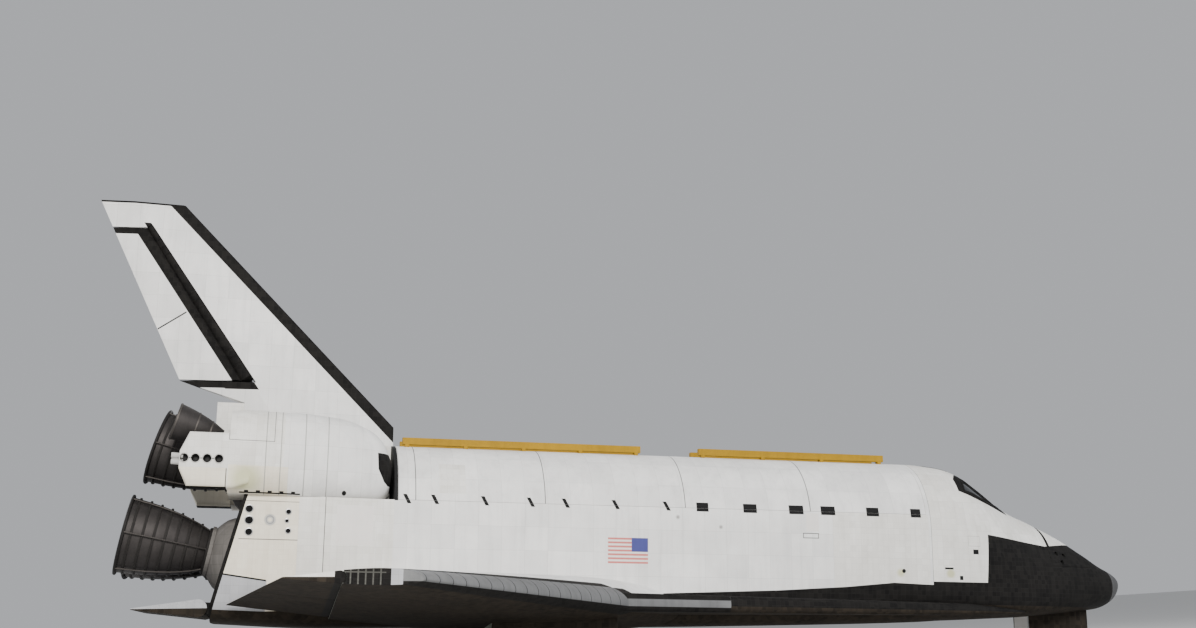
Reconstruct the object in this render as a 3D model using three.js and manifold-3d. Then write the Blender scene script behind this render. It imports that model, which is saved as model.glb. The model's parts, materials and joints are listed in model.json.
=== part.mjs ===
// A delta-winged spaceplane orbiter, standing on its landing gear with its payload bay doors closed.
//
// Everything is laid out in the vehicle's own station frame, as on its drawings: x runs aft from a
// datum ahead of the nose, y to starboard and z up, in inches. The last lines turn that frame nose
// forward, tip it nose-down onto its wheels, and scale it to millimetres.
import * as THREE from "three";
import { mergeVertices } from "three/addons/utils/BufferGeometryUtils.js";
import Module from "manifold-3d";

const wasm = await Module();
wasm.setup();

// Driving dimensions, in inches and radians.
const MM_PER_INCH = 25.4;
const PITCH = THREE.MathUtils.degToRad(4); // nose-down on its gear
const SEAT = 0.012; // gap between pieces that touch
const RUN = 0.4; // running gap beside pieces that move
const FAR = 2000; // past the end of everything

const NOSE_CAP_X = 262;
const CABIN_END_X = 576;
const BAY = { x0: 582, x1: 1302, z: 400, radius: 90, sillZ: 420, doorInner: 94, gap: 0.3, endGap: 0.5 };
const DOOR_HINGE = { y: 101.6, z: 420, radius: 1.7, knuckle: 5, count: 5 };
const AFT_X = 1307;

const WING = {
  rootX: 836, // leading edge of the 45 degree wing carried in to the centreline
  rootTrailX: 1525.2,
  trailSlope: 0.17733, // the trailing edge runs forward by this for each inch of span
  kinkY: 188,
  gloveSlope: 6.314, // 81 degree sweep ahead of the kink
  tipY: 468,
  innerY: 84,
  thickness: 0.118,
  upperShare: 0.64,
  hingeX: 1387,
  datumZ: 276.4,
  dihedral: 0.0612,
  incidence: 0.0087,
};
const ELEVON = {
  inY: 124,
  splitY: 312,
  splitGap: 1.2,
  outY: 466.5,
  up: 35,
  down: 20,
  trail: 1.4,
  bearing: 4,
  bearings: [160, 270, 345, 430],
};
const EDGE = { startX: 886, depth: 15 }; // carbon leading edge
const FIN = {
  rootZ: 500,
  tipZ: 815.7,
  leadX: 1277.9,
  trailX: 1546.4,
  trailSlope: 0.49312,
  thickness: 0.105,
  crest: 0.6,
  footX: 1304,
  trail: 0.8,
};
const RUDDER = { z0: 578, z1: 779, gap: 1, lowX: 1493.3, highX: 1633.1, tube: 2.4, nose: 0.3 };
// Angles at the hinge line: where a panel's front starts, from aft, and how far ahead of it the fin ends.
const RUDDER_FRONT = THREE.MathUtils.degToRad(33);
const RUDDER_LIP = THREE.MathUtils.degToRad(20);
const CHUTE = { x0: 1500, x1: 1534, z0: 512, z1: 549, halfY: 10 };
const FLAP = { hingeX: 1536, z: 283, nose: 10.5, chord: 77, trail: 1.6, halfY: 114, up: 11.7, down: 22.5 };
const POD_FLOOR_Z = 420;
const RIDGE_Y = 11.7;
const MAIN_AXLE = { x: 1172, y: 136, z: 188.4 };
const MAIN_WHEEL = { radius: 22.25, rim: 10.5, width: 16, spread: 18.5, axle: 2.6 };
const NOSE_WHEEL = { radius: 16, rim: 7.5, width: 8.8, spread: 11, axle: 1.6 };
const NOSE_AXLE = { x: 377, y: 0, z: 0 };
NOSE_AXLE.z =
  MAIN_AXLE.z +
  (MAIN_AXLE.x - NOSE_AXLE.x) * Math.tan(PITCH) -
  (MAIN_WHEEL.radius - NOSE_WHEEL.radius) / Math.cos(PITCH);
const MAIN_WELL = { x0: 1034, x1: 1190, y0: 107, y1: 166, topZ: 313, doorZ: 208 };
const NOSE_WELL = { x0: 300, x1: 392, halfY: 20, topZ: 330, doorZ: 269 };
const GEAR_DOOR = 2.5;
const HATCH = { x: 524, z: 374, radius: 20, taper: 5.6, wall: 10 };
const CABIN = { x0: 430, x1: 568, wall: 9, floorZ: 335, deckZ: 408 };
const REFERENCE_X = 941; // station that comes to stand over the origin

// Colours of the real surfaces.
const FINISH = {
  white: { color: 0xd9d7d0, roughness: 0.75, metalness: 0 },
  blanket: { color: 0xe4e2dc, roughness: 0.9, metalness: 0 },
  black: { color: 0x17171a, roughness: 0.6, metalness: 0 },
  carbon: { color: 0x6f7072, roughness: 0.55, metalness: 0 },
  metal: { color: 0x8d8f92, roughness: 0.35, metalness: 1 },
  nozzle: { color: 0x4b4844, roughness: 0.45, metalness: 1 },
  leg: { color: 0xb9bcc0, roughness: 0.4, metalness: 0.6 },
  tyre: { color: 0x1b1b1c, roughness: 0.85, metalness: 0 },
  glass: { color: 0x11161b, roughness: 0.08, metalness: 0 },
  yellow: { color: 0xe0a021, roughness: 0.5, metalness: 0 },
  cabin: { color: 0x9a9c98, roughness: 0.7, metalness: 0 },
};

// Joining and cutting.
function solid(geometry) {
  const bare = geometry.clone();
  bare.deleteAttribute("normal");
  bare.deleteAttribute("uv");
  const merged = mergeVertices(bare, 1e-4);
  const points = new Float32Array(merged.attributes.position.array);
  const corner = (i) => new THREE.Vector3().fromArray(points, 3 * i);
  const faces = [];
  let volume = 0;
  for (let i = 0; i < merged.index.count; i += 3) {
    const [a, b, c] = merged.index.array.slice(i, i + 3);
    if (a === b || b === c || c === a) continue;
    faces.push(a, b, c);
    volume += corner(a).dot(corner(b).cross(corner(c)));
  }
  if (volume < 0) faces.reverse();
  return new wasm.Manifold(
    new wasm.Mesh({ numProp: 3, vertProperties: points, triVerts: new Uint32Array(faces) }),
  );
}

function surface(body) {
  const mesh = body.getMesh();
  const step = mesh.numProp;
  const points = new Float32Array(mesh.numVert * 3);
  for (let i = 0; i < mesh.numVert; i++)
    points.set(mesh.vertProperties.subarray(i * step, i * step + 3), i * 3);
  const geometry = new THREE.BufferGeometry();
  geometry.setAttribute("position", new THREE.BufferAttribute(points, 3));
  geometry.setIndex(new THREE.BufferAttribute(new Uint32Array(mesh.triVerts), 1));
  return geometry;
}

const join = (...bodies) => bodies.flat().reduce((all, one) => all.add(one));
const cut = (body, ...tools) => tools.flat().reduce((left, tool) => left.subtract(tool), body);
const both = (make) => [make(-1), make(1)];
const mirror = (body) => solid(surface(body).scale(1, -1, 1));
const handed = (side, body) => (side > 0 ? body : mirror(body));
const point = (x, y, z) => new THREE.Vector3(x, y, z);

// Shapes.
function box(x0, x1, y0, y1, z0, z1) {
  const block = new THREE.BoxGeometry(Math.abs(x1 - x0), Math.abs(y1 - y0), Math.abs(z1 - z0));
  return solid(block.translate((x0 + x1) / 2, (y0 + y1) / 2, (z0 + z1) / 2));
}

// A closed skin over rings of points, all the same length, with flat ends. Each four-sided patch is
// split along the diagonal that mirrors its twin across y = 0, so both sides come out alike.
function loft(rings) {
  const count = rings[0].length;
  const points = rings.flat();
  const faces = [];
  for (let r = 0; r + 1 < rings.length; r++)
    for (let i = 0; i < count; i++) {
      const a = r * count + i;
      const b = r * count + ((i + 1) % count);
      const port = points[a].y + points[b].y < 0;
      if (port) faces.push(a, b, a + count, b, b + count, a + count);
      else faces.push(a, b, b + count, a, b + count, a + count);
    }
  const middles = [rings[0], rings.at(-1)].map((ring) =>
    ring.reduce((sum, p) => sum.add(p), point(0, 0, 0)).divideScalar(count),
  );
  points.push(...middles);
  const last = (rings.length - 1) * count;
  for (let i = 0; i < count; i++) {
    const j = (i + 1) % count;
    faces.push(points.length - 2, j, i, points.length - 1, last + i, last + j);
  }
  const geometry = new THREE.BufferGeometry().setFromPoints(points);
  geometry.setIndex(faces);
  return solid(geometry);
}

// A flat outline of [u, v] pairs pushed through the body: a side view [x, z] along y, a plan [x, y] along z.
function prism(outline, from, to, axis) {
  const shape = new THREE.Shape(outline.map(([u, v]) => new THREE.Vector2(u, v)));
  const geometry = new THREE.ExtrudeGeometry(shape, { depth: to - from, bevelEnabled: false });
  geometry.translate(0, 0, from);
  if (axis === "y") geometry.rotateX(Math.PI / 2).scale(1, -1, 1);
  return solid(geometry);
}

// Turns geometry made round the y axis onto the line from one point toward another.
function aim(geometry, from, to) {
  const turn = new THREE.Quaternion().setFromUnitVectors(
    point(0, 1, 0),
    to.clone().sub(from).normalize(),
  );
  return solid(geometry.applyQuaternion(turn).translate(from.x, from.y, from.z));
}

// A round bar between two points.
function rod(from, to, radius, sides = 12, endRadius = radius) {
  const length = from.distanceTo(to);
  const bar = new THREE.CylinderGeometry(endRadius, radius, length, sides);
  return aim(bar.translate(0, length / 2, 0), from, to);
}

// The hole that such a bar turns in: its flats lie just outside the bar's corners.
function bore(from, to, radius, sides = 12, clear = SEAT) {
  const length = from.distanceTo(to);
  const wide = (radius + clear) / Math.cos(Math.PI / sides);
  const bar = new THREE.CylinderGeometry(wide, wide, length, sides).rotateY(Math.PI / sides);
  return aim(bar.translate(0, length / 2, 0), from, to);
}

// A profile of [radius, distance] pairs turned round the line from one point toward another.
function revolve(profile, from, to, sides = 28) {
  const outline = profile.map(([r, s]) => new THREE.Vector2(r, s));
  return aim(new THREE.LatheGeometry(outline, sides), from, to);
}

// Fuselage sections: station, top, bottom, height of the widest line, half width, and how square the
// upper and lower halves are (2 is an ellipse).
const FUSELAGE = [
  { x: 236.6, top: 341, bottom: 333, middle: 336, half: 5, upper: 2, lower: 2 },
  { x: 242, top: 346, bottom: 319, middle: 334, half: 17, upper: 2, lower: 2 },
  { x: 262, top: 357, bottom: 304, middle: 332, half: 34, upper: 2, lower: 2.2 },
  { x: 300, top: 379, bottom: 296, middle: 328, half: 52, upper: 2, lower: 2.6 },
  { x: 340, top: 402, bottom: 292, middle: 324, half: 65, upper: 2, lower: 3 },
  { x: 378, top: 419, bottom: 288.5, middle: 321, half: 75, upper: 2.1, lower: 3.4 },
  { x: 420, top: 436, bottom: 285, middle: 320, half: 84, upper: 2.2, lower: 4 },
  { x: 440, top: 447, bottom: 284, middle: 323, half: 88, upper: 2.3, lower: 4.2 },
  { x: 480, top: 474, bottom: 282, middle: 336, half: 94, upper: 2.5, lower: 4.6 },
  { x: 500, top: 487, bottom: 281, middle: 350, half: 96, upper: 2.5, lower: 5 },
  { x: 523, top: 495, bottom: 280, middle: 364, half: 99, upper: 2.4, lower: 5.4 },
  { x: 545, top: 498, bottom: 279, middle: 380, half: 101, upper: 2.3, lower: 5.8 },
  { x: 576, top: 500, bottom: 277, middle: 396, half: 102, upper: 2.1, lower: 6.4 },
  { x: 700, top: 500, bottom: 273, middle: 400, half: 103, upper: 2, lower: 7 },
  { x: 1000, top: 500, bottom: 266.5, middle: 400, half: 103, upper: 2, lower: 7.5 },
  { x: 1307, top: 500, bottom: 263, middle: 400, half: 103, upper: 2, lower: 8 },
  { x: 1400, top: 500, bottom: 262, middle: 400, half: 112, upper: 2, lower: 8 },
  { x: 1540, top: 500, bottom: 267, middle: 400, half: 122, upper: 2, lower: 8 },
];
const SKIN_POINTS = 32;
const LINING_POINTS = 20;

function fuselageRing(section, inset, count) {
  return Array.from({ length: count }, (_, i) => {
    const angle = (2 * Math.PI * i) / count;
    const [across, up] = [Math.cos(angle), Math.sin(angle)];
    const power = 2 / (up >= 0 ? section.upper : section.lower);
    const edge = up >= 0 ? section.top - inset : section.bottom + inset;
    const y = Math.sign(across) * Math.abs(across) ** power * (section.half - inset);
    const z = section.middle + Math.abs(up) ** power * (edge - section.middle);
    return point(section.x, y, z);
  });
}

function fuselage(inset, x0 = 0, x1 = FAR, count = SKIN_POINTS) {
  const kept = FUSELAGE.filter((section) => section.x >= x0 && section.x <= x1);
  return loft(kept.map((section) => fuselageRing(section, inset, count)));
}

const hull = fuselage(0);
const hullClear = fuselage(-SEAT);
const slice = (x0, x1) => hull.intersect(box(x0, x1, -FAR, FAR, -FAR, FAR));

// Wing.
const wingTrailX = (y) => WING.rootTrailX - WING.trailSlope * y;
const chordZ = (x, y) => WING.datumZ + WING.dihedral * y + WING.incidence * (wingTrailX(y) - x);

// Share of the greatest thickness at a share of the chord.
function fullness(share) {
  const s = share;
  return 10 * (0.2969 * Math.sqrt(s) - 0.126 * s - 0.3516 * s ** 2 + 0.2843 * s ** 3 - 0.1036 * s ** 4) + 0.02 * s;
}

function wingDepth(x, y) {
  const chord = wingTrailX(y) - WING.rootX - y;
  return WING.thickness * chord * fullness((x - WING.rootX - y) / chord);
}

function aerofoilRing(y, stations, depthAt) {
  const upper = stations.map((x) => point(x, y, chordZ(x, y) + WING.upperShare * depthAt(x)));
  const lower = stations.map((x) => point(x, y, chordZ(x, y) - (1 - WING.upperShare) * depthAt(x)));
  return [...upper.reverse(), ...lower.slice(1)];
}

function wingBlank(grow) {
  const shares = [0, 0.006, 0.025, 0.07, 0.15, 0.27, 0.42, 0.6, 0.8, 1];
  const main = [WING.innerY, WING.tipY].map((y) => {
    const chord = wingTrailX(y) - WING.rootX - y;
    const stations = shares.map((share) => WING.rootX + y + share * chord);
    return aerofoilRing(y, stations, (x) => wingDepth(x, y) + (x > WING.rootX + y ? 3 * grow : 0));
  });
  const steps = [0, 2, 8, 20, 40];
  const glove = [
    { y: 80, x: 430, depth: 10 },
    { y: 105, x: 500, depth: 16 },
    { y: WING.kinkY, x: WING.rootX + WING.kinkY, depth: 23 },
  ].map(({ y, x, depth }) => {
    const stations = [...steps.map((step) => x + step), 1110];
    const nose = (at) => Math.sqrt(1 - (1 - Math.min(1, (at - x) / steps.at(-1))) ** 2);
    return aerofoilRing(y, stations, (at) => depth * nose(at) + (at > x ? 3 * grow : 0));
  });
  return join(loft(main), loft(glove));
}

// Plan of the carbon leading edge: a strip of constant depth behind the glove's and the wing's edges.
function edgeStrip(grow) {
  const kink = [WING.rootX + WING.kinkY, WING.kinkY];
  const start = [EDGE.startX - grow, kink[1] - (kink[0] - EDGE.startX) / WING.gloveSlope];
  const gloveLength = Math.hypot(WING.gloveSlope, 1);
  const depth = EDGE.depth + grow;
  const gloveIn = [depth / gloveLength, (-depth * WING.gloveSlope) / gloveLength];
  const wingIn = [depth * Math.SQRT1_2, -depth * Math.SQRT1_2];
  // Where the two inner lines meet.
  const t = ((wingIn[0] - gloveIn[0]) * 1 - (wingIn[1] - gloveIn[1]) * 1) / (WING.gloveSlope - 1);
  const corner = [kink[0] + gloveIn[0] + t * WING.gloveSlope, kink[1] + gloveIn[1] + t];
  const tip = WING.tipY + 10;
  const outline = [
    [start[0], start[1] + 40],
    [start[0], start[1] + gloveIn[1] - gloveIn[0] / WING.gloveSlope],
    corner,
    [WING.rootX + tip + 2 * wingIn[0], tip],
    [WING.rootX + tip - 60, tip],
    [kink[0] - 40, kink[1] + 20],
  ];
  return prism(outline, 200, 400, "z");
}

// Elevons turn about a line through the middle of the wing at the hinge station.
function hingeMiddle(y) {
  const depth = wingDepth(WING.hingeX, y);
  return { z: chordZ(WING.hingeX, y) + (WING.upperShare - 0.5) * depth, radius: depth / 2 - 0.1 };
}
const HINGE_IN = hingeMiddle(ELEVON.inY);
const HINGE_OUT = hingeMiddle(ELEVON.outY);
const hingeShare = (y) => (y - ELEVON.inY) / (ELEVON.outY - ELEVON.inY);
const hingeZ = (y) => THREE.MathUtils.lerp(HINGE_IN.z, HINGE_OUT.z, hingeShare(y));
const hingeRadius = (y) => THREE.MathUtils.lerp(HINGE_IN.radius, HINGE_OUT.radius, hingeShare(y));
const HINGE_TILT = Math.atan2(HINGE_OUT.z - HINGE_IN.z, ELEVON.outY - ELEVON.inY);
const NOSE_STEPS = 8;

// A point beside the hinge line, in the plane square to it: u aft and w up.
function besideHinge(y, u, w) {
  return point(WING.hingeX + u, y - w * Math.sin(HINGE_TILT), hingeZ(y) + w * Math.cos(HINGE_TILT));
}

function noseArc(radius, from, to, steps) {
  return Array.from({ length: steps + 1 }, (_, i) => {
    const angle = THREE.MathUtils.degToRad(from + ((to - from) * i) / steps);
    return [radius * Math.cos(angle), radius * Math.sin(angle)];
  });
}

function elevon(y0, y1) {
  return loft(
    [y0, y1].map((y) => {
      const chord = wingTrailX(y) - WING.hingeX;
      const outline = [
        ...noseArc(hingeRadius(y), 90, 270, NOSE_STEPS),
        [chord, -ELEVON.trail / 2 - 2],
        [chord, ELEVON.trail / 2 - 2],
      ];
      return outline.map(([u, w]) => besideHinge(y, u, w));
    }),
  );
}

// What the wing gives up to its elevons: a cove round their noses, open far enough to let them turn.
function elevonCove(clear) {
  const steps = NOSE_STEPS - 2;
  const half = (180 - ELEVON.up - ELEVON.down) / steps / 2;
  return loft(
    [WING.innerY - 10, WING.tipY + 10].map((y) => {
      const wide = (hingeRadius(y) + clear) / Math.cos(THREE.MathUtils.degToRad(half));
      const arc = noseArc(wide, 90 + ELEVON.up, 270 - ELEVON.down, steps);
      const outline = [[arc[0][0], 60], ...arc, [arc.at(-1)[0], -60], [200, -60], [200, 60]];
      return outline.map(([u, w]) => besideHinge(y, u, w));
    }),
  );
}

const mainWell = () =>
  box(MAIN_WELL.x0, MAIN_WELL.x1, MAIN_WELL.y0, MAIN_WELL.y1, 0, MAIN_WELL.topZ);

// The cove runs clear of the elevons' noses, and closes on them at each bearing.
function wing() {
  const bearings = ELEVON.bearings.map((y) => box(0, FAR, y, y + ELEVON.bearing, 0, FAR));
  return cut(
    wingBlank(0),
    hullClear,
    edgeStrip(SEAT),
    mainWell(),
    elevonCove(SEAT),
    cut(elevonCove(RUN), bearings),
  );
}

const leadingEdge = () => cut(wingBlank(0).intersect(edgeStrip(0)), hullClear);

// Fin, rudder and speed brake.
function finBlank() {
  return loft(
    [FIN.rootZ, FIN.tipZ].map((z) => {
      const lead = FIN.leadX + (z - FIN.rootZ);
      const trail = FIN.trailX + FIN.trailSlope * (z - FIN.rootZ);
      const chord = trail - lead;
      const half = (FIN.thickness * chord) / 2;
      const outline = [
        [lead, 0],
        [lead + 2.5, 2],
        [lead + FIN.crest * chord, half],
        [trail, FIN.trail],
        [trail, -FIN.trail],
        [lead + FIN.crest * chord, -half],
        [lead + 2.5, -2],
      ];
      return outline.map(([x, y]) => point(x, y, z));
    }),
  );
}

const RUDDER_LOW = point(RUDDER.lowX, 0, RUDDER.z0);
const RUDDER_HIGH = point(RUDDER.highX, 0, RUDDER.z1);
const RUDDER_LINE = RUDDER_HIGH.clone().sub(RUDDER_LOW).normalize();
const RUDDER_LENGTH = RUDDER_HIGH.distanceTo(RUDDER_LOW);
const onRudderLine = (s) => RUDDER_LOW.clone().addScaledVector(RUDDER_LINE, s);
const RUDDER_LEAN = (RUDDER.highX - RUDDER.lowX) / (RUDDER.z1 - RUDDER.z0);
const RUDDER_KNUCKLES = [
  { side: -1, at: 30 },
  { side: 1, at: 42 },
  { side: -1, at: 120 },
  { side: 1, at: 132 },
  { side: -1, at: 205 },
  { side: 1, at: 217 },
];
const KNUCKLE_LENGTH = 10;
const CONE_SPREAD = 300;

// Half thickness of the fin, beside the rudder's hinge line.
function finHalf(z) {
  const chord = FIN.trailX - FIN.leadX + (FIN.trailSlope - 1) * (z - FIN.rootZ);
  return (FIN.thickness * chord) / 2;
}

// The rudder's round black core, as thick as the fin.
function rudderCore(grow, from = -30, to = RUDDER_LENGTH + 30) {
  const radius = (s) => finHalf(onRudderLine(s).z) - RUDDER.nose + grow;
  return rod(onRudderLine(from), onRudderLine(to), radius(from), 28, radius(to));
}
const knuckleSlice = ({ at }, grow, ends = grow) => rudderCore(grow, at - ends, at + KNUCKLE_LENGTH + ends);

// What a level cut through a point of the hinge line sweeps as it turns: under it, or over it.
const sweptUnder = (apex) =>
  revolve(
    [
      [0, -CONE_SPREAD],
      [CONE_SPREAD, -CONE_SPREAD],
      [CONE_SPREAD, RUDDER_LEAN * CONE_SPREAD],
      [0, 0],
    ],
    apex,
    apex.clone().add(RUDDER_LINE),
    48,
  );
const sweptOver = (apex) =>
  revolve(
    [
      [0, 0],
      [CONE_SPREAD, RUDDER_LEAN * CONE_SPREAD],
      [CONE_SPREAD, 2 * CONE_SPREAD],
      [0, 2 * CONE_SPREAD],
    ],
    apex,
    apex.clone().add(RUDDER_LINE),
    48,
  );

// Room for the rudder, up to the fin's lips.
function rudderRoom() {
  const length = Math.hypot(1, RUDDER_LEAN);
  const lip = (z) => (finHalf(z) * Math.tan(RUDDER_LIP) + RUN) * length;
  const [z0, z1] = [RUDDER.z0 - 60, RUDDER.z1 + 60];
  const behind = prism(
    [
      [RUDDER.lowX - 60 * RUDDER_LEAN - lip(z0), z0],
      [RUDDER.highX + 60 * RUDDER_LEAN - lip(z1), z1],
      [FAR, z1],
      [FAR, z0],
    ],
    -40,
    40,
    "y",
  );
  const band = box(0, FAR, -FAR, FAR, RUDDER.z0 - RUDDER.gap, FAR);
  const top = sweptUnder(RUDDER_HIGH.clone().add(point(0, 0, RUDDER.gap)));
  return join(rudderCore(RUN), behind).intersect(top).intersect(band);
}

function fin() {
  const room = rudderRoom();
  const tubeHole = bore(onRudderLine(-8.5), onRudderLine(RUDDER_LENGTH + 6.5), RUDDER.tube);
  const belowStub = prism(
    [
      [CHUTE.x0, FIN.rootZ - 10],
      [CHUTE.x0, 550],
      [1583.4, RUDDER.z0 - RUDDER.gap - 0.5],
      [1640, RUDDER.z0 - RUDDER.gap - 0.5],
      [1640, FIN.rootZ - 10],
    ],
    -40,
    40,
    "y",
  );
  const front = box(0, FIN.footX, -40, 40, 0, 600);
  return cut(finBlank(), room, tubeHole, belowStub, front, hullClear);
}

// The core turns with its tube, between the panels' knuckles.
function rudderTube() {
  const tube = rod(onRudderLine(-8.5 + SEAT), onRudderLine(RUDDER_LENGTH + 6.5 - SEAT), RUDDER.tube);
  const core = rudderCore(0).intersect(sweptUnder(RUDDER_HIGH)).intersect(sweptOver(RUDDER_LOW));
  return join(cut(core, RUDDER_KNUCKLES.map((knuckle) => knuckleSlice(knuckle, RUN))), tube);
}

function rudderPanel(side) {
  const wedge = [onRudderLine(-60), onRudderLine(RUDDER_LENGTH + 60)].map((end) => {
    const aft = point(RUDDER_LINE.z, 0, -RUDDER_LINE.x);
    const front = aft.clone().multiplyScalar(Math.cos(RUDDER_FRONT)).add(point(0, side * Math.sin(RUDDER_FRONT), 0));
    const inner = end.clone().add(point(0, side * 0.15, 0));
    return [inner, inner.clone().addScaledVector(front, 200), inner.clone().addScaledVector(aft, 200)];
  });
  const level = box(0, FAR, -40, 40, RUDDER.z0, RUDDER.z1);
  const blank = finBlank().intersect(loft(wedge)).intersect(level).intersect(sweptOver(RUDDER_LOW));
  const [mine, others] = [side, -side].map((which) => RUDDER_KNUCKLES.filter((knuckle) => knuckle.side === which));
  const round = cut(blank, rudderCore(RUN), others.map((knuckle) => knuckleSlice(knuckle, RUN)));
  const arms = mine.map((knuckle) => blank.intersect(knuckleSlice(knuckle, RUN + SEAT, 0)));
  const hinged = join(round, arms, mine.map((knuckle) => knuckleSlice(knuckle, 0)));
  return cut(hinged, bore(onRudderLine(-8), onRudderLine(RUDDER_LENGTH + 6), RUDDER.tube));
}

// Main engines: gimbal point, then how far each is pitched up and turned out, in degrees.
const ENGINES = [
  { name: "top", x: 1445, y: 0, z: 443, up: 16, out: 0 },
  { name: "left", x: 1468.2, y: -53, z: 342.6, up: 10, out: -3.5 },
  { name: "right", x: 1468.2, y: 53, z: 342.6, up: 10, out: 3.5 },
];
const POD_ENGINE = { x: 1505, y: 88, z: 488, up: 15.8, out: 6.5 };
const DOME = [
  [0, -10],
  [50, -10],
  [50, 25],
  [46, 42],
  [37, 54],
  [26, 62],
  [0, 62],
];
const DOME_END = 62;
const BELL = [
  [22.5, DOME_END],
  [30.5, 80],
  [38.7, 108],
  [43.5, 136],
  [46.5, 168],
];
const BELL_WALL = 1.6;

function thrustLine({ x, y, z, up, out }) {
  const [rise, turn] = [THREE.MathUtils.degToRad(up), THREE.MathUtils.degToRad(out)];
  const line = point(Math.cos(rise) * Math.cos(turn), Math.cos(rise) * Math.sin(turn), Math.sin(rise));
  const gimbal = point(x, y, z);
  return { gimbal, aft: gimbal.clone().add(line), line };
}

function nozzle(engine, outline, wall) {
  const { gimbal, aft } = thrustLine(engine);
  const inner = outline.map(([r, s]) => [r - wall, s]);
  inner[0] = [inner[0][0], outline[0][1] + wall];
  const [start, end] = [outline[0][1] + SEAT, outline.at(-1)[1]];
  const outer = outline.map(([r, s]) => [r, Math.max(s, start)]);
  inner[inner.length - 1][1] = end;
  return revolve([[0, start], ...outer, ...inner.reverse(), [0, outline[0][1] + wall]], gimbal, aft, 24);
}

// Aft fuselage, with its sloping base, engine domes and the body flap's bearings.
function aftFuselage() {
  const side = prism(
    [
      [AFT_X + SEAT, 200],
      [1524, 200],
      [1522, 290],
      [1488, 430],
      [1500, 520],
      [AFT_X + SEAT, 520],
    ],
    -300,
    300,
    "y",
  );
  const shoulders = both((s) => box(0, FAR, s * RIDGE_Y, s * 300, BAY.sillZ, 600));
  const body = cut(hull.intersect(side), shoulders);
  const domes = ENGINES.map((engine) => {
    const { gimbal, aft } = thrustLine(engine);
    return revolve(DOME, gimbal, aft, 24);
  });
  const bearings = [-105, -38, 38, 105].map((y) => box(1505, 1531, y - 4, y + 4, 276, 290));
  const flapNose = bore(
    point(FLAP.hingeX, -FLAP.halfY - 5, FLAP.z),
    point(FLAP.hingeX, FLAP.halfY + 5, FLAP.z),
    FLAP.nose,
    2 * NOSE_STEPS,
  );
  return cut(join(body, domes, bearings), flapNose);
}

function bodyFlap() {
  const outline = [
    ...noseArc(FLAP.nose, 90, 270, NOSE_STEPS),
    [FLAP.chord, -FLAP.trail / 2 - 2],
    [FLAP.chord, FLAP.trail / 2 - 2],
  ];
  return prism(
    outline.map(([u, w]) => [FLAP.hingeX + u, FLAP.z + w]),
    -FLAP.halfY,
    FLAP.halfY,
    "y",
  );
}

// Manoeuvring engine pods: station, middle and half width across, middle and half height.
const POD = [
  { x: 1312, y: 60, wide: 30, z: 452, high: 22 },
  { x: 1322, y: 61, wide: 42, z: 457, high: 38 },
  { x: 1340, y: 63, wide: 51, z: 462, high: 48 },
  { x: 1380, y: 68, wide: 60, z: 468, high: 55 },
  { x: 1440, y: 73, wide: 65, z: 469, high: 58 },
  { x: 1490, y: 76, wide: 68, z: 469, high: 58 },
  { x: 1511, y: 76, wide: 68, z: 469, high: 57 },
];
const POD_POINTS = 24;
const RCS_HOUSING = [
  { x: 1486, y: 126, wide: 13, z: 458, high: 27 },
  { x: 1504, y: 130, wide: 16.5, z: 457.5, high: 33.5 },
  { x: 1558, y: 130, wide: 16.5, z: 457.5, high: 33.5 },
  { x: 1568, y: 130, wide: 16, z: 456.5, high: 11.5 },
];

function roundedRings(sections, power, count) {
  return sections.map(({ x, y, wide, z, high }) =>
    Array.from({ length: count }, (_, i) => {
      const angle = (2 * Math.PI * i) / count;
      const [across, up] = [Math.cos(angle), Math.sin(angle)];
      return point(
        x,
        y + Math.sign(across) * Math.abs(across) ** (2 / power) * wide,
        z + Math.sign(up) * Math.abs(up) ** (2 / power) * high,
      );
    }),
  );
}

function pod() {
  const shell = loft(roundedRings(POD, 2.6, POD_POINTS));
  const housing = loft(roundedRings(RCS_HOUSING, 7, 12));
  const { gimbal, line } = thrustLine(POD_ENGINE);
  const boss = rod(gimbal.clone().addScaledVector(line, -10), gimbal.clone().addScaledVector(line, 18), 9.5, 16);
  const engineBay = thrustLine(ENGINES[0]);
  const clearance = rod(
    engineBay.gimbal.clone().addScaledVector(engineBay.line, -12),
    engineBay.gimbal.clone().addScaledVector(engineBay.line, 160),
    51.5,
    28,
  );
  const below = box(0, FAR, -300, 300, 0, POD_FLOOR_Z + SEAT);
  const inboard = box(0, FAR, -300, RIDGE_Y + SEAT, 0, 600);
  return cut(join(shell, housing, boss), below, inboard, clearance, finRoot());
}

// The foot of the fin, a little oversize, that the pods fit round.
function finRoot() {
  const root = finBlank().intersect(box(FIN.footX, CHUTE.x0, -40, 40, FIN.rootZ, 560));
  return solid(surface(root).scale(1, 1.002, 1));
}

const POD_BELL = [
  [8, 18],
  [13.5, 32],
  [18, 48],
  [21.5, 66],
  [23, 78],
];

// Cabin, with its windows, hatch and nose gear well.
const PANES = [
  { from: 430, outline: [[441, 2], [439, 26], [473, 26], [478, 2]] },
  { from: 434, outline: [[440, 29], [446, 55], [478, 52], [474, 29]] },
  { from: 447, outline: [[455, 58], [461, 98], [503, 98], [497, 58]] },
  { from: 470, outline: [[514, 8], [514, 28], [546, 28], [546, 8]] },
];
const WINDSHIELD = { x0: 434, x1: 508, z0: 428, outside: 2, inside: 3.6 };
const OVERHEAD = { x0: 511, x1: 549, halfY: 32, z0: 470 };

const cabinHollow = (inset) =>
  fuselage(CABIN.wall + inset, 420, 576, LINING_POINTS).intersect(
    box(CABIN.x0 + inset, CABIN.x1 - inset, -FAR, FAR, CABIN.floorZ + inset, FAR),
  );

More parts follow.
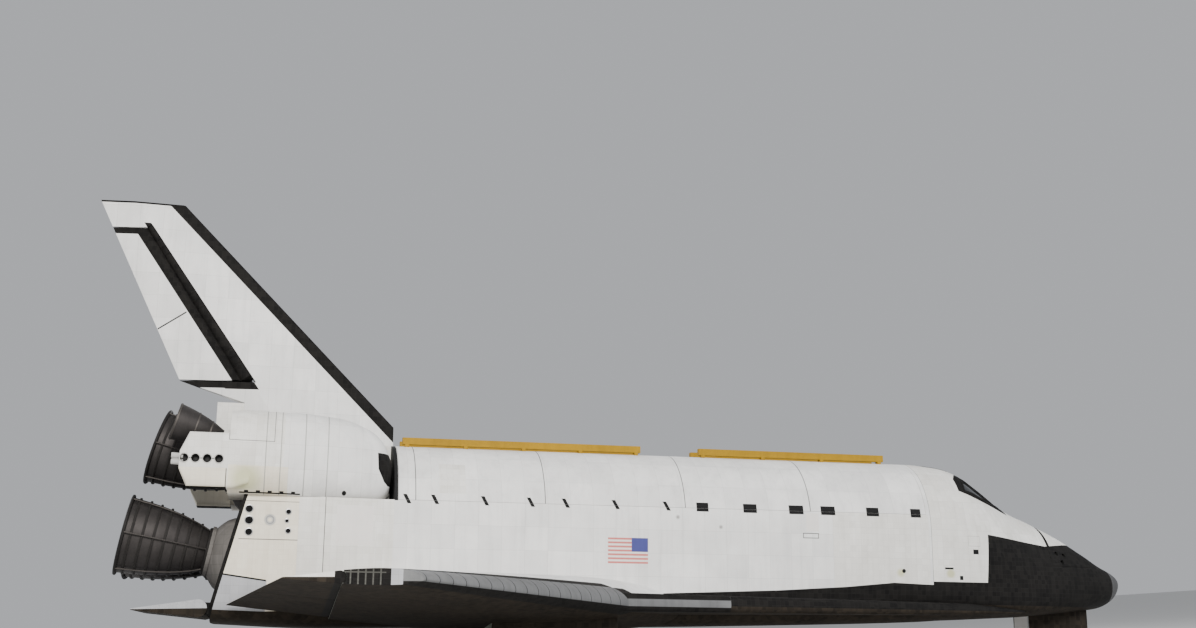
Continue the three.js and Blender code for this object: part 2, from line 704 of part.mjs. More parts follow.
function glassBand({ x0, x1, halfY = 100, z0 }, grow) {
  const outer = fuselage(WINDSHIELD.outside - grow, 378, 600);
  const inner = fuselage(WINDSHIELD.inside + grow, 378, 600);
  return cut(outer, inner).intersect(box(x0 - grow, x1 + grow, -halfY - grow, halfY + grow, z0 - grow, FAR));
}

const paneCuts = () =>
  PANES.flatMap(({ from, outline }) =>
    both((side) => prism(outline.map(([x, y]) => [x, side * y]), from, 520, "z")),
  );

// The hatch's plug narrows inward, so that it swings out past the edge of its hole.
const HATCH_SKIN_Y = -99;
const HATCH_HINGE = { y: HATCH_SKIN_Y - 2, z: HATCH.z - HATCH.radius - 1.5, radius: 1.2 };

function hatchPlug(grow) {
  const outside = point(HATCH.x, HATCH_SKIN_Y - 6, HATCH.z);
  const inside = point(HATCH.x, HATCH_SKIN_Y + HATCH.wall + 6, HATCH.z);
  return rod(outside, inside, HATCH.radius + grow, 20, HATCH.radius - HATCH.taper + grow);
}

const hatchKnuckle = (from, to, radius) =>
  rod(point(from, HATCH_HINGE.y, HATCH_HINGE.z), point(to, HATCH_HINGE.y, HATCH_HINGE.z), radius, 10);

function crewHatch() {
  const shell = cut(hull, cabinHollow(0)).intersect(box(480, 568, -FAR, -60, 0, FAR));
  const plug = shell.intersect(hatchPlug(-RUN));
  const strap = box(HATCH.x - 3, HATCH.x + 3, HATCH_HINGE.y, HATCH_SKIN_Y + 1.5, HATCH_HINGE.z - 0.8, HATCH_HINGE.z + 4);
  return join(plug, strap, hatchKnuckle(HATCH.x - 3, HATCH.x + 3, HATCH_HINGE.radius));
}

function forwardFuselage() {
  const body = slice(NOSE_CAP_X + SEAT, CABIN_END_X - SEAT);
  const lugs = both((side) => {
    const [near, away] = [HATCH.x + side * (3 + SEAT), HATCH.x + side * 7];
    const lug = box(near, away, HATCH_HINGE.y, HATCH_SKIN_Y + 4, HATCH_HINGE.z - 1, HATCH_HINGE.z + 1);
    return join(lug, hatchKnuckle(Math.min(near, away), Math.max(near, away), HATCH_HINGE.radius));
  });
  const opened = cut(
    body,
    cabinHollow(0),
    paneCuts(),
    glassBand(WINDSHIELD, SEAT),
    glassBand(OVERHEAD, SEAT),
    noseModule(SEAT),
    box(NOSE_WELL.x0, NOSE_WELL.x1, -NOSE_WELL.halfY, NOSE_WELL.halfY, 0, NOSE_WELL.topZ),
    box(HATCH.x - 3 - RUN, HATCH.x + 3 + RUN, -200, HATCH_SKIN_Y + 6, HATCH_HINGE.z - 2.5, HATCH.z - 10),
  );
  return cut(join(opened, lugs), hatchPlug(0));
}

const NOSE_MODULE = { x0: 303, x1: 378, z0: 356 };
const noseModule = (grow) =>
  box(NOSE_MODULE.x0 - grow, NOSE_MODULE.x1 + grow, -FAR, FAR, NOSE_MODULE.z0 - grow, FAR);

function flightDeck() {
  const deck = box(CABIN.x0, CABIN.x1, -FAR, FAR, CABIN.deckZ, CABIN.deckZ + 3);
  const furniture = both((side) =>
    join(
      box(480, 500, side * 14, side * 34, CABIN.deckZ + 2, CABIN.deckZ + 18),
      box(496, 502, side * 14, side * 34, CABIN.deckZ + 2, CABIN.deckZ + 46),
    ),
  );
  const console = box(476, 510, -9, 9, CABIN.deckZ + 2, CABIN.deckZ + 14);
  const panel = box(452, 460, -50, 50, CABIN.deckZ + 2, CABIN.deckZ + 22);
  return join(deck, furniture, console, panel).intersect(cabinHollow(SEAT));
}

// Mid fuselage and payload bay doors.
const hingeStation = (i) => BAY.x0 + ((BAY.x1 - BAY.x0) * (i + 0.5)) / DOOR_HINGE.count;
function doorKnuckles(from, to, radius) {
  return Array.from({ length: DOOR_HINGE.count }, (_, i) =>
    rod(
      point(hingeStation(i) + from, DOOR_HINGE.y, DOOR_HINGE.z),
      point(hingeStation(i) + to, DOOR_HINGE.y, DOOR_HINGE.z),
      radius,
      8,
    ),
  );
}

function bayVoid() {
  const round = rod(point(BAY.x0, 0, BAY.z), point(BAY.x1, 0, BAY.z), BAY.radius, 44);
  const walls = box(BAY.x0, BAY.x1, -BAY.radius, BAY.radius, BAY.z, BAY.sillZ + 5);
  const open = box(BAY.x0, BAY.x1, -200, 200, BAY.sillZ, 600);
  return [round, walls, open];
}

function midFuselage() {
  const { knuckle, radius } = DOOR_HINGE;
  const room = doorKnuckles(-RUN, knuckle + RUN, radius + RUN);
  const knuckles = [
    ...doorKnuckles(-knuckle, -SEAT, radius),
    ...doorKnuckles(knuckle + SEAT, 2 * knuckle, radius),
  ];
  const body = cut(slice(CABIN_END_X, AFT_X), bayVoid(), room, room.map(mirror));
  return join(body, knuckles, knuckles.map(mirror));
}

function payloadDoor() {
  const { knuckle, radius } = DOOR_HINGE;
  const half = box(BAY.x0 + BAY.endGap, BAY.x1 - BAY.endGap, BAY.gap / 2, 200, BAY.sillZ + BAY.gap, 600);
  const inside = rod(point(BAY.x0, 0, BAY.z), point(BAY.x1, 0, BAY.z), BAY.doorInner, 44);
  const shell = cut(
    hull.intersect(half),
    inside,
    doorKnuckles(-knuckle - RUN, 0, radius + RUN),
    doorKnuckles(knuckle, 2 * knuckle + RUN, radius + RUN),
  );
  return join(shell, doorKnuckles(0, knuckle, radius));
}

// Stiffening beams bolted along the outside of the doors.
const BEAMS = [
  { name: "aft", x0: 967, x1: 1293, posts: 5 },
  { name: "forward", x0: 608, x1: 883, posts: 4 },
];
const BEAM = { y0: 16, y1: 24, z0: 501, z1: 510, post: 5 };

function doorBeam({ x0, x1, posts }) {
  const rail = box(x0, x1, BEAM.y0, BEAM.y1, BEAM.z0, BEAM.z1);
  const feet = Array.from({ length: posts }, (_, i) => {
    const x = x0 + 6 + ((x1 - x0 - 12) * i) / (posts - 1);
    return box(x - BEAM.post / 2, x + BEAM.post / 2, BEAM.y0, BEAM.y1, 480, BEAM.z0 + 1);
  });
  return cut(join(rail, feet), hullClear);
}

// Wheels turn about lines along y; their corners are turned so that one stands on the ground.
function lathedWheel(profile, x, y, z) {
  const outline = profile.map(([r, s]) => new THREE.Vector2(r, s));
  return solid(new THREE.LatheGeometry(outline, 24).rotateY(PITCH).translate(x, y, z));
}

function tyre({ radius, rim, width, spread }, axle, which) {
  const [half, seat] = [width / 2, rim + SEAT];
  return lathedWheel(
    [
      [seat, half * 0.76],
      [(rim + radius) / 2, half],
      [radius - 1.8, half * 0.84],
      [radius, half * 0.4],
      [radius, -half * 0.4],
      [radius - 1.8, -half * 0.84],
      [(rim + radius) / 2, -half],
      [seat, -half * 0.76],
      [seat, half * 0.76],
    ],
    axle.x,
    axle.y + which * spread,
    axle.z,
  );
}

function wheelPair({ rim, width, spread, axle: radius }, axle) {
  const hubs = both((side) => {
    const [inner, outer] = [-side * width * 0.38, side * width * 0.38];
    return lathedWheel(
      [
        [0, inner * 0.4],
        [rim * 0.8, inner * 0.4],
        [rim, inner],
        [rim, outer],
        [rim * 0.84, outer],
        [rim * 0.7, outer * 0.5],
        [0, outer * 0.5],
      ],
      axle.x,
      axle.y + side * spread,
      axle.z,
    );
  });
  const { x, y, z } = axle;
  return join(hubs, rod(point(x, y - spread, z), point(x, y + spread, z), radius));
}

function axleEye(body, { spread, axle: radius }, { x, y, z }) {
  return cut(body, bore(point(x, y - spread, z), point(x, y + spread, z), radius));
}

function mainStrut() {
  const { x, y, z } = MAIN_AXLE;
  const leg = rod(point(x, y, 306), point(x, y, 228), 7.5, 16);
  const piston = rod(point(x, y, 230), point(x, y, z), 4.8, 16);
  const eye = rod(point(x, y - 7, z), point(x, y + 7, z), 5, 16);
  const trunnion = rod(point(x, MAIN_WELL.y0 + SEAT, 300), point(x, MAIN_WELL.y1 - SEAT, 300), 5, 12);
  const link = box(x - 14, x - 3, y - 2, y + 2, 200, 236);
  return axleEye(join(leg, piston, eye, trunnion, link), MAIN_WHEEL, MAIN_AXLE);
}

function mainBrace() {
  const { x, y } = MAIN_AXLE;
  const bar = rod(point(x - 4, y, 246), point(1085, y, 307), 3, 10);
  const head = rod(point(1085, MAIN_WELL.y0 + SEAT, 307), point(1085, MAIN_WELL.y1 - SEAT, 307), 3.5, 10);
  const strut = rod(point(x, y, 330), point(x, y, 228), 7.5 + SEAT, 16);
  return cut(join(bar, head), strut);
}

const NOSE_STRUT_END = 262;
function noseStrut() {
  const { x } = NOSE_AXLE;
  const leg = rod(point(x, 0, 326), point(x, 0, NOSE_STRUT_END), 4.6, 16);
  const side = NOSE_WELL.halfY - SEAT;
  return join(leg, rod(point(x, -side, 320), point(x, side, 320), 3.2, 12));
}

function nosePiston() {
  const { x, z } = NOSE_AXLE;
  const rodPiece = rod(point(x, 0, NOSE_STRUT_END - SEAT), point(x, 0, z), 3.2, 16);
  const eye = rod(point(x, -4.5, z), point(x, 4.5, z), 3.2, 16);
  return axleEye(join(rodPiece, eye), NOSE_WHEEL, NOSE_AXLE);
}

function noseBrace() {
  const { x } = NOSE_AXLE;
  const side = NOSE_WELL.halfY - SEAT;
  const bar = rod(point(x - 2, 0, 276), point(318, 0, 324), 2.2, 10);
  const head = rod(point(318, -side, 322), point(318, side, 322), 2.6, 10);
  return cut(join(bar, head), rod(point(x, 0, 330), point(x, 0, 250), 4.6 + SEAT, 16));
}

function noseDoor() {
  const { x0, x1, halfY, doorZ } = NOSE_WELL;
  return cut(box(x0, x1, halfY, halfY + GEAR_DOOR, doorZ, 300), hullClear);
}

function mainDoor() {
  const { x0, x1, y1, doorZ } = MAIN_WELL;
  return cut(box(x0, x1, y1, y1 + GEAR_DOOR, doorZ, 290), wingBlank(SEAT));
}

// The whole vehicle, in station inches.
const vehicle = new THREE.Group();

function add(name, body, finish) {
  const mesh = new THREE.Mesh(surface(body), new THREE.MeshStandardMaterial(finish));
  mesh.name = name;
  vehicle.add(mesh);
}

const SIDES = [
  { side: -1, hand: "left" },
  { side: 1, hand: "right" },
];

add("nose_cap", slice(0, NOSE_CAP_X), FINISH.carbon);
add("forward_fuselage", forwardFuselage(), FINISH.white);
add("forward_thruster_module", hull.intersect(noseModule(0)), FINISH.white);
add("windshield", glassBand(WINDSHIELD, 0), FINISH.glass);
add("overhead_windows", glassBand(OVERHEAD, 0), FINISH.glass);
add("flight_deck", flightDeck(), FINISH.cabin);
add("crew_hatch", crewHatch(), FINISH.white);
add("mid_fuselage", midFuselage(), FINISH.white);
add("aft_fuselage", aftFuselage(), FINISH.white);
add("body_flap", bodyFlap(), FINISH.black);
add("fin", fin(), FINISH.white);
add("rudder_torque_tube", rudderTube(), FINISH.black);
add("drag_chute_housing", box(CHUTE.x0 + SEAT, CHUTE.x1, -CHUTE.halfY, CHUTE.halfY, CHUTE.z0, CHUTE.z1), FINISH.white);

for (const engine of ENGINES) add(`main_engine_${engine.name}`, nozzle(engine, BELL, BELL_WALL), FINISH.nozzle);

for (const { side, hand } of SIDES) {
  const addHanded = (name, body, finish) => add(`${name}_${hand}`, handed(side, body), finish);
  addHanded("payload_door", payloadDoor(), FINISH.blanket);
  for (const beam of BEAMS) addHanded(`door_beam_${beam.name}`, doorBeam(beam), FINISH.yellow);
  addHanded("wing", wing(), FINISH.white);
  addHanded("leading_edge", leadingEdge(), FINISH.carbon);
  addHanded("elevon_inboard", elevon(ELEVON.inY, ELEVON.splitY - ELEVON.splitGap / 2), FINISH.white);
  addHanded("elevon_outboard", elevon(ELEVON.splitY + ELEVON.splitGap / 2, ELEVON.outY), FINISH.white);
  add(`rudder_panel_${hand}`, rudderPanel(side), FINISH.blanket);
  addHanded("engine_pod", pod(), FINISH.blanket);
  addHanded("pod_engine", nozzle(POD_ENGINE, POD_BELL, 1), FINISH.nozzle);
  addHanded("main_gear_strut", mainStrut(), FINISH.leg);
  addHanded("main_gear_brace", mainBrace(), FINISH.leg);
  addHanded("main_gear_door", mainDoor(), FINISH.black);
  addHanded("main_wheel_hubs", wheelPair(MAIN_WHEEL, MAIN_AXLE), FINISH.metal);
  addHanded("main_tyre_inner", tyre(MAIN_WHEEL, MAIN_AXLE, -1), FINISH.tyre);
  addHanded("main_tyre_outer", tyre(MAIN_WHEEL, MAIN_AXLE, 1), FINISH.tyre);
  addHanded("nose_gear_door", noseDoor(), FINISH.black);
  addHanded("nose_tyre", tyre(NOSE_WHEEL, NOSE_AXLE, 1), FINISH.tyre);
}

add("nose_gear_strut", noseStrut(), FINISH.leg);
add("nose_gear_brace", noseBrace(), FINISH.leg);
add("nose_gear_piston", nosePiston(), FINISH.leg);
add("nose_wheel_hubs", wheelPair(NOSE_WHEEL, NOSE_AXLE), FINISH.metal);

// The ground under the wheels, in the station frame, where the origin comes to stand.
const groundZ =
  MAIN_AXLE.z - MAIN_WHEEL.radius / Math.cos(PITCH) + (MAIN_AXLE.x - REFERENCE_X) * Math.tan(PITCH);
vehicle.position.set(-REFERENCE_X, 0, -groundZ);

const forward = new THREE.Group();
forward.rotation.z = Math.PI;
forward.scale.setScalar(MM_PER_INCH);
forward.add(vehicle);

const orbiter = new THREE.Group();
orbiter.rotation.y = PITCH;
orbiter.add(forward);

export default orbiter;
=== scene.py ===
"""The looks of a delta-winged spaceplane orbiter that stands on its landing gear.

Shapes are laid out in station inches, as on the vehicle's drawings: x runs aft from a datum ahead
of the nose, y to starboard and z up. Each finished mesh is turned into the frame of the solids.
"""

from __future__ import annotations

import json
import logging
import math
from dataclasses import dataclass, field
from enum import Enum
from functools import reduce
from typing import Callable, ClassVar, Iterable, Sequence

import bmesh
import bpy
import numpy as np
from mathutils import Matrix, Vector

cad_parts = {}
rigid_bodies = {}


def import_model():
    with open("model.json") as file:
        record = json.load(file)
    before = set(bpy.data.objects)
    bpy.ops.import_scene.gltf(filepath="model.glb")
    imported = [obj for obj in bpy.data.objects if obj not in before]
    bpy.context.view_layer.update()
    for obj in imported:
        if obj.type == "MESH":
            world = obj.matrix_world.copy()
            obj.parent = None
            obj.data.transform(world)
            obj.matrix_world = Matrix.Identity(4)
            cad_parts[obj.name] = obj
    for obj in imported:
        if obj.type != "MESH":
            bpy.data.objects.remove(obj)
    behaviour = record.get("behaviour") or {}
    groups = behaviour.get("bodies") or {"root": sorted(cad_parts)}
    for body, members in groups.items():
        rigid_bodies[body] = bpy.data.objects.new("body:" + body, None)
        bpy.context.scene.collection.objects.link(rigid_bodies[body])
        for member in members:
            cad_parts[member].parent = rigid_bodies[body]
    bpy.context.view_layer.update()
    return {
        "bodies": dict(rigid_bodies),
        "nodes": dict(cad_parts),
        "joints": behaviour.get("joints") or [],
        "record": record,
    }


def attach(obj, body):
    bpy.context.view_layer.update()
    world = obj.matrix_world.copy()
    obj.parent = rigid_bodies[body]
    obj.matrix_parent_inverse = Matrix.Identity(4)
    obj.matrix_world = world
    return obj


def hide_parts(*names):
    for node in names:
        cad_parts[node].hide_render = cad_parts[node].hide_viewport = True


log = logging.getLogger("orbiter")

Array = np.ndarray
Point = Sequence[float]
Colour = tuple[float, float, float]
Material = bpy.types.Material
Node = bpy.types.Node
Object = bpy.types.Object
Socket = bpy.types.NodeSocket
Tree = bpy.types.NodeTree
Value = Socket | float | Sequence[float]

INCH = 0.0254
PITCH = math.radians(4)
REFERENCE_X = 941.0
AXLE_X = 1172.0
AXLE_Z = 188.4
MAIN_RADIUS = 22.25
GROUND_Z = AXLE_Z - MAIN_RADIUS / math.cos(PITCH) + (AXLE_X - REFERENCE_X) * math.tan(PITCH)
FAR = 2000.0
STARBOARD = 1
PORT = -1
SIDES = ((PORT, "left"), (STARBOARD, "right"))
ACROSS = (0, 1, 0)

# The numbers of a piece's finishes: its skin, what lies inside it, and the rim of an opening.
SKIN, INSIDE, RIM = 0, 1, 2

TO_ROW = (
    Matrix.Rotation(PITCH, 4, "Y")
    @ Matrix.Rotation(math.pi, 4, "Z")
    @ Matrix.Scale(INCH, 4)
    @ Matrix.Translation((-REFERENCE_X, 0, -GROUND_Z))
)


def to_row(place: Point) -> Vector:
    """A station point in row metres."""
    return TO_ROW @ Vector(place)


def direction(line: Point) -> Vector:
    """A station direction in the row frame."""
    return (TO_ROW.to_3x3() @ Vector(line)).normalized()


def smooth_curve(xs: Sequence[float], ys: Sequence[float], at: Array) -> Array:
    """A curve through points that never overshoots them.

    Args:
        xs: Rising places of the points.
        ys: Their values.
        at: Places to read.

    Returns:
        The values there.
    """
    xs, ys = np.asarray(xs, float), np.asarray(ys, float)
    step, slope = np.diff(xs), np.diff(ys) / np.diff(xs)
    tangent = np.zeros(len(xs))
    for i in range(1, len(xs) - 1):
        if slope[i - 1] * slope[i] > 0:
            before, after = 2 * step[i] + step[i - 1], step[i] + 2 * step[i - 1]
            tangent[i] = (before + after) / (before / slope[i - 1] + after / slope[i])
    tangent[0], tangent[-1] = slope[0], slope[-1]
    k = np.clip(np.searchsorted(xs, at, side="right") - 1, 0, len(xs) - 2)
    t = (at - xs[k]) / step[k]
    return (
        ys[k] * (2 * t**3 - 3 * t**2 + 1)
        + tangent[k] * step[k] * (t**3 - 2 * t**2 + t)
        + ys[k + 1] * (3 * t**2 - 2 * t**3)
        + tangent[k + 1] * step[k] * (t**3 - t**2)
    )


# Shapes.


@dataclass
class Form:
    """Points and faces in station inches, each face with the number of its finish."""

    points: list[Array] = field(default_factory=list)
    faces: list[tuple[int, ...]] = field(default_factory=list)
    slots: list[int] = field(default_factory=list)

    def add(self, points: Iterable[Point], faces: Iterable[Sequence[int]], slot: int = SKIN) -> Form:
        """Adds faces over new points, and returns the form.

        Args:
            points: The new points.
            faces: Each face's points, by number.
            slot: The number of its finish.

        Returns:
            The form.
        """
        start = len(self.points)
        self.points.extend(np.asarray(p, float) for p in points)
        for face in faces:
            self.faces.append(tuple(start + i for i in face))
            self.slots.append(slot)
        return self

    def join(self, *others: Form) -> Form:
        """Adds other forms, and returns the form.

        Args:
            others: The other forms.

        Returns:
            The form.
        """
        for other in others:
            start = len(self.points)
            self.points.extend(other.points)
            self.faces.extend(tuple(start + i for i in face) for face in other.faces)
            self.slots.extend(other.slots)
        return self

    def mirrored(self) -> Form:
        """Its twin on the other side of the vehicle.

        Returns:
            The twin.
        """
        twin = Form([p * (1, -1, 1) for p in self.points], slots=list(self.slots))
        twin.faces = [face[::-1] for face in self.faces]
        return twin

    def on(self, side: int) -> Form:
        """This starboard form, or its twin for the port side."""
        return self if side == STARBOARD else self.mirrored()

    def painted(self, slot: int) -> Form:
        """The form with one finish all over."""
        self.slots = [slot] * len(self.faces)
        return self


def grid(rows: Array, around: bool = False, slot: int = SKIN) -> Form:
    """A sheet over rows of points.

    Args:
        rows: Points, as an array of rows by columns by 3.
        around: Whether the last column joins the first.
        slot: The number of the finish.

    Returns:
        The sheet.
    """
    count, across = rows.shape[:2]
    faces = [
        (
            r * across + c,
            r * across + (c + 1) % across,
            (r + 1) * across + (c + 1) % across,
            (r + 1) * across + c,
        )
        for r in range(count - 1)
        for c in range(across if around else across - 1)
    ]
    return Form().add(rows.reshape(-1, 3), faces, slot)


def loft(rings: Sequence[Sequence[Point]], slot: int = SKIN) -> Form:
    """A closed body over rings of points, with flat ends.

    Args:
        rings: Rings with the same count of points.
        slot: The number of its finish.

    Returns:
        The form.
    """
    rings = np.asarray(rings, float)
    form = grid(rings, True, slot)
    count, across = rings.shape[:2]
    form.faces += [tuple(range(across))[::-1], tuple(range((count - 1) * across, count * across))]
    form.slots += [slot, slot]
    return form


def block(x: Point, y: Point, z: Point, slot: int = SKIN) -> Form:
    """A box between pairs of limits."""
    ring = ((y[0], z[0]), (y[1], z[0]), (y[1], z[1]), (y[0], z[1]))
    return loft([[(at, *corner) for corner in ring] for at in x], slot)


class Axis(Enum):
    """An axis of the vehicle: x runs aft, y outward and z up."""

    X = "x"
    Y = "y"
    Z = "z"


def prism(outline: Sequence[Point], start: float, end: float, along: Axis, slot: int = SKIN) -> Form:
    """A flat outline pushed through the body: a side view along y, or a plan along z.

    Args:
        outline: Pairs of the flat view.
        start: Where it starts.
        end: Where it ends.
        along: The axis it is pushed along.
        slot: The number of its finish.

    Returns:
        The form.
    """
    if along is Axis.Y:
        return loft([[(u, w, v) for u, v in outline] for w in (start, end)], slot)
    return loft([[(u, v, w) for u, v in outline] for w in (start, end)], slot)


def frame_of(line: Point) -> tuple[Array, Array, Array]:
    """A unit line and two directions square to it.

    Args:
        line: A direction.

    Returns:
        The unit line, and the two directions.
    """
    axis = np.asarray(line, float)
    axis = axis / np.linalg.norm(axis)
    helper = np.array([0.0, 0, 1]) if abs(axis[2]) < 0.9 else np.array([0.0, 1, 0])
    first = np.cross(helper, axis)
    first /= np.linalg.norm(first)
    return axis, first, np.cross(axis, first)


def lathe(profile: Sequence[Point], origin: Point, line: Point, sides: int = 96, slot: int = SKIN) -> Form:
    """A profile of (radius, distance) pairs turned round a line. Radii of 0 close its ends.

    Args:
        profile: The pairs.
        origin: Where the distances start.
        line: The axis.
        sides: Steps round it.
        slot: The number of its finish.

    Returns:
        The form.
    """
    axis, first, second = frame_of(line)
    angles = np.linspace(0, 2 * math.pi, sides, endpoint=False)
    spokes = np.outer(np.cos(angles), first) + np.outer(np.sin(angles), second)
    rows = [np.asarray(origin, float) + s * axis + r * spokes for r, s in profile]
    return grid(np.array(rows), True, slot)


def ring_form(profile: Sequence[Point], origin: Point, line: Point, sides: int) -> Form:
    """A closed profile of (radius, distance) pairs turned round a line."""
    return lathe([*profile, profile[0]], origin, line, sides)


def bar(
    start: Point,
    end: Point,
    radius: float,
    sides: int = 24,
    end_radius: float | None = None,
    slot: int = SKIN,
) -> Form:
    """A round bar between two points, with slightly eased ends.

    Args:
        start: Where it starts.
        end: Where it ends.
        radius: Its radius.
        sides: Steps round it.
        end_radius: The radius at its far end, where that differs.
        slot: The number of its finish.

    Returns:
        The form.
    """
    start, end = np.asarray(start, float), np.asarray(end, float)
    length = float(np.linalg.norm(end - start))
    last = radius if end_radius is None else end_radius
    ease = min(radius, last, length) * 0.08
    profile = [
        (0, 0),
        (radius - ease, 0),
        (radius, ease),
        (last, length - ease),
        (last - ease, length),
        (0, length),
    ]
    return lathe(profile, start, end - start, sides, slot)


def pipe(path: Sequence[Point], radius: float, sides: int = 10) -> Form:
    """A tube that follows a line of points.

    Args:
        path: The line of points.
        radius: Its radius.
        sides: Steps round it.

    Returns:
        The form.
    """
    points = np.asarray(path, float)
    tangents = np.gradient(points, axis=0)
    rings = []
    _, first, _ = frame_of(tangents[0])
    for point, tangent in zip(points, tangents):
        axis = tangent / np.linalg.norm(tangent)
        first = first - axis * (first @ axis)
        first /= np.linalg.norm(first)
        second = np.cross(axis, first)
        angles = np.linspace(0, 2 * math.pi, sides, endpoint=False)
        rings.append(point + radius * (np.outer(np.cos(angles), first) + np.outer(np.sin(angles), second)))
    return loft(rings)


# From shapes to objects.


class Cut(Enum):
    """What a tool does to a body."""

    TAKE = "DIFFERENCE"
    KEEP = "INTERSECT"
    JOIN = "UNION"


def bare_object(name: str, form: Form, finishes: Sequence[Material]) -> Object:
    """An object of a form, in the row frame, with its doubles merged and its faces outward.

    Args:
        name: Its name.
        form: Its shape.
        finishes: Its materials, by number.

    Returns:
        The object.
    """
    mesh = bpy.data.meshes.new(name)
    places = np.array(form.points)
    matrix = np.array(TO_ROW)
    mesh.from_pydata((places @ matrix[:3, :3].T + matrix[:3, 3]).tolist(), [], form.faces)
    mesh.polygons.foreach_set("material_index", form.slots)
    work = bmesh.new()
    work.from_mesh(mesh)
    bmesh.ops.remove_doubles(work, verts=work.verts, dist=2e-5)
    bmesh.ops.dissolve_degenerate(work, edges=work.edges, dist=1e-6)
    bmesh.ops.recalc_face_normals(work, faces=work.faces)
    work.to_mesh(mesh)
    work.free()
    for finish in finishes:
        mesh.materials.append(finish)
    made = bpy.data.objects.new(name, mesh)
    bpy.context.scene.collection.objects.link(made)
    return made


def plain_mesh(made: Object) -> None:
    """Turns an object's modifiers into its mesh.

    Args:
        made: The object.
    """
    graph = bpy.context.evaluated_depsgraph_get()
    result = bpy.data.meshes.new_from_object(made.evaluated_get(graph))
    made.modifiers.clear()
    old, made.data = made.data, result
    bpy.data.meshes.remove(old)


def shape_with(made: Object, cuts: Sequence[tuple[Cut, Form]], finishes: Sequence[Material]) -> None:
    """Cuts, keeps or joins closed forms, one after the other.

    Args:
        made: The object.
        cuts: What is done, and the closed form it is done with.
        finishes: Its materials, by number.
    """
    tools = []
    for kind, form in cuts:
        tool = bare_object("tool", form, finishes)
        change = made.modifiers.new(kind.value, "BOOLEAN")
        change.operation = kind.value
        change.solver = "MANIFOLD"
        change.object = tool
        tools.append(tool)
    bpy.context.view_layer.update()
    plain_mesh(made)
    for tool in tools:
        bpy.data.meshes.remove(tool.data)


@dataclass(frozen=True)
class Fitting:
    """How a piece joins the vehicle: its body and the solids it stands for; it also carries a record slot
    name.
    """

    body: str = "airframe"
    slot: str = "tile_white"
    replaces: tuple[str, ...] = ()
    smooth: float = 32.0


def settle(made: Object, fitting: Fitting) -> Object:
    """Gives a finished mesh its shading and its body.

    Args:
        made: The object.
        fitting: How it joins the vehicle.

    Returns:
        The object.
    """
    made.data.shade_smooth()
    made.data.set_sharp_from_angle(angle=math.radians(fitting.smooth))
    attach(made, fitting.body)
    if fitting.replaces:
        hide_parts(*fitting.replaces)
    log.info("%s: %d faces on %s", made.name, len(made.data.polygons), fitting.body)
    return made


def piece(
    name: str,
    form: Form,
    finishes: Sequence[Material],
    fitting: Fitting,
    cuts: Sequence[tuple[Cut, Form]] = (),
) -> Object:
    """Makes one finished piece.

    Args:
        name: The piece's name.
        form: Its shape.
        finishes: Its materials, in the order of the faces' numbers.
        fitting: The body it rides on, and what it stands for.
        cuts: Closed forms that it is cut with or joined to.

    Returns:
        The object.
    """
    made = bare_object(name, form, finishes)
    if cuts:
        shape_with(made, cuts, finishes)
    return settle(made, fitting)


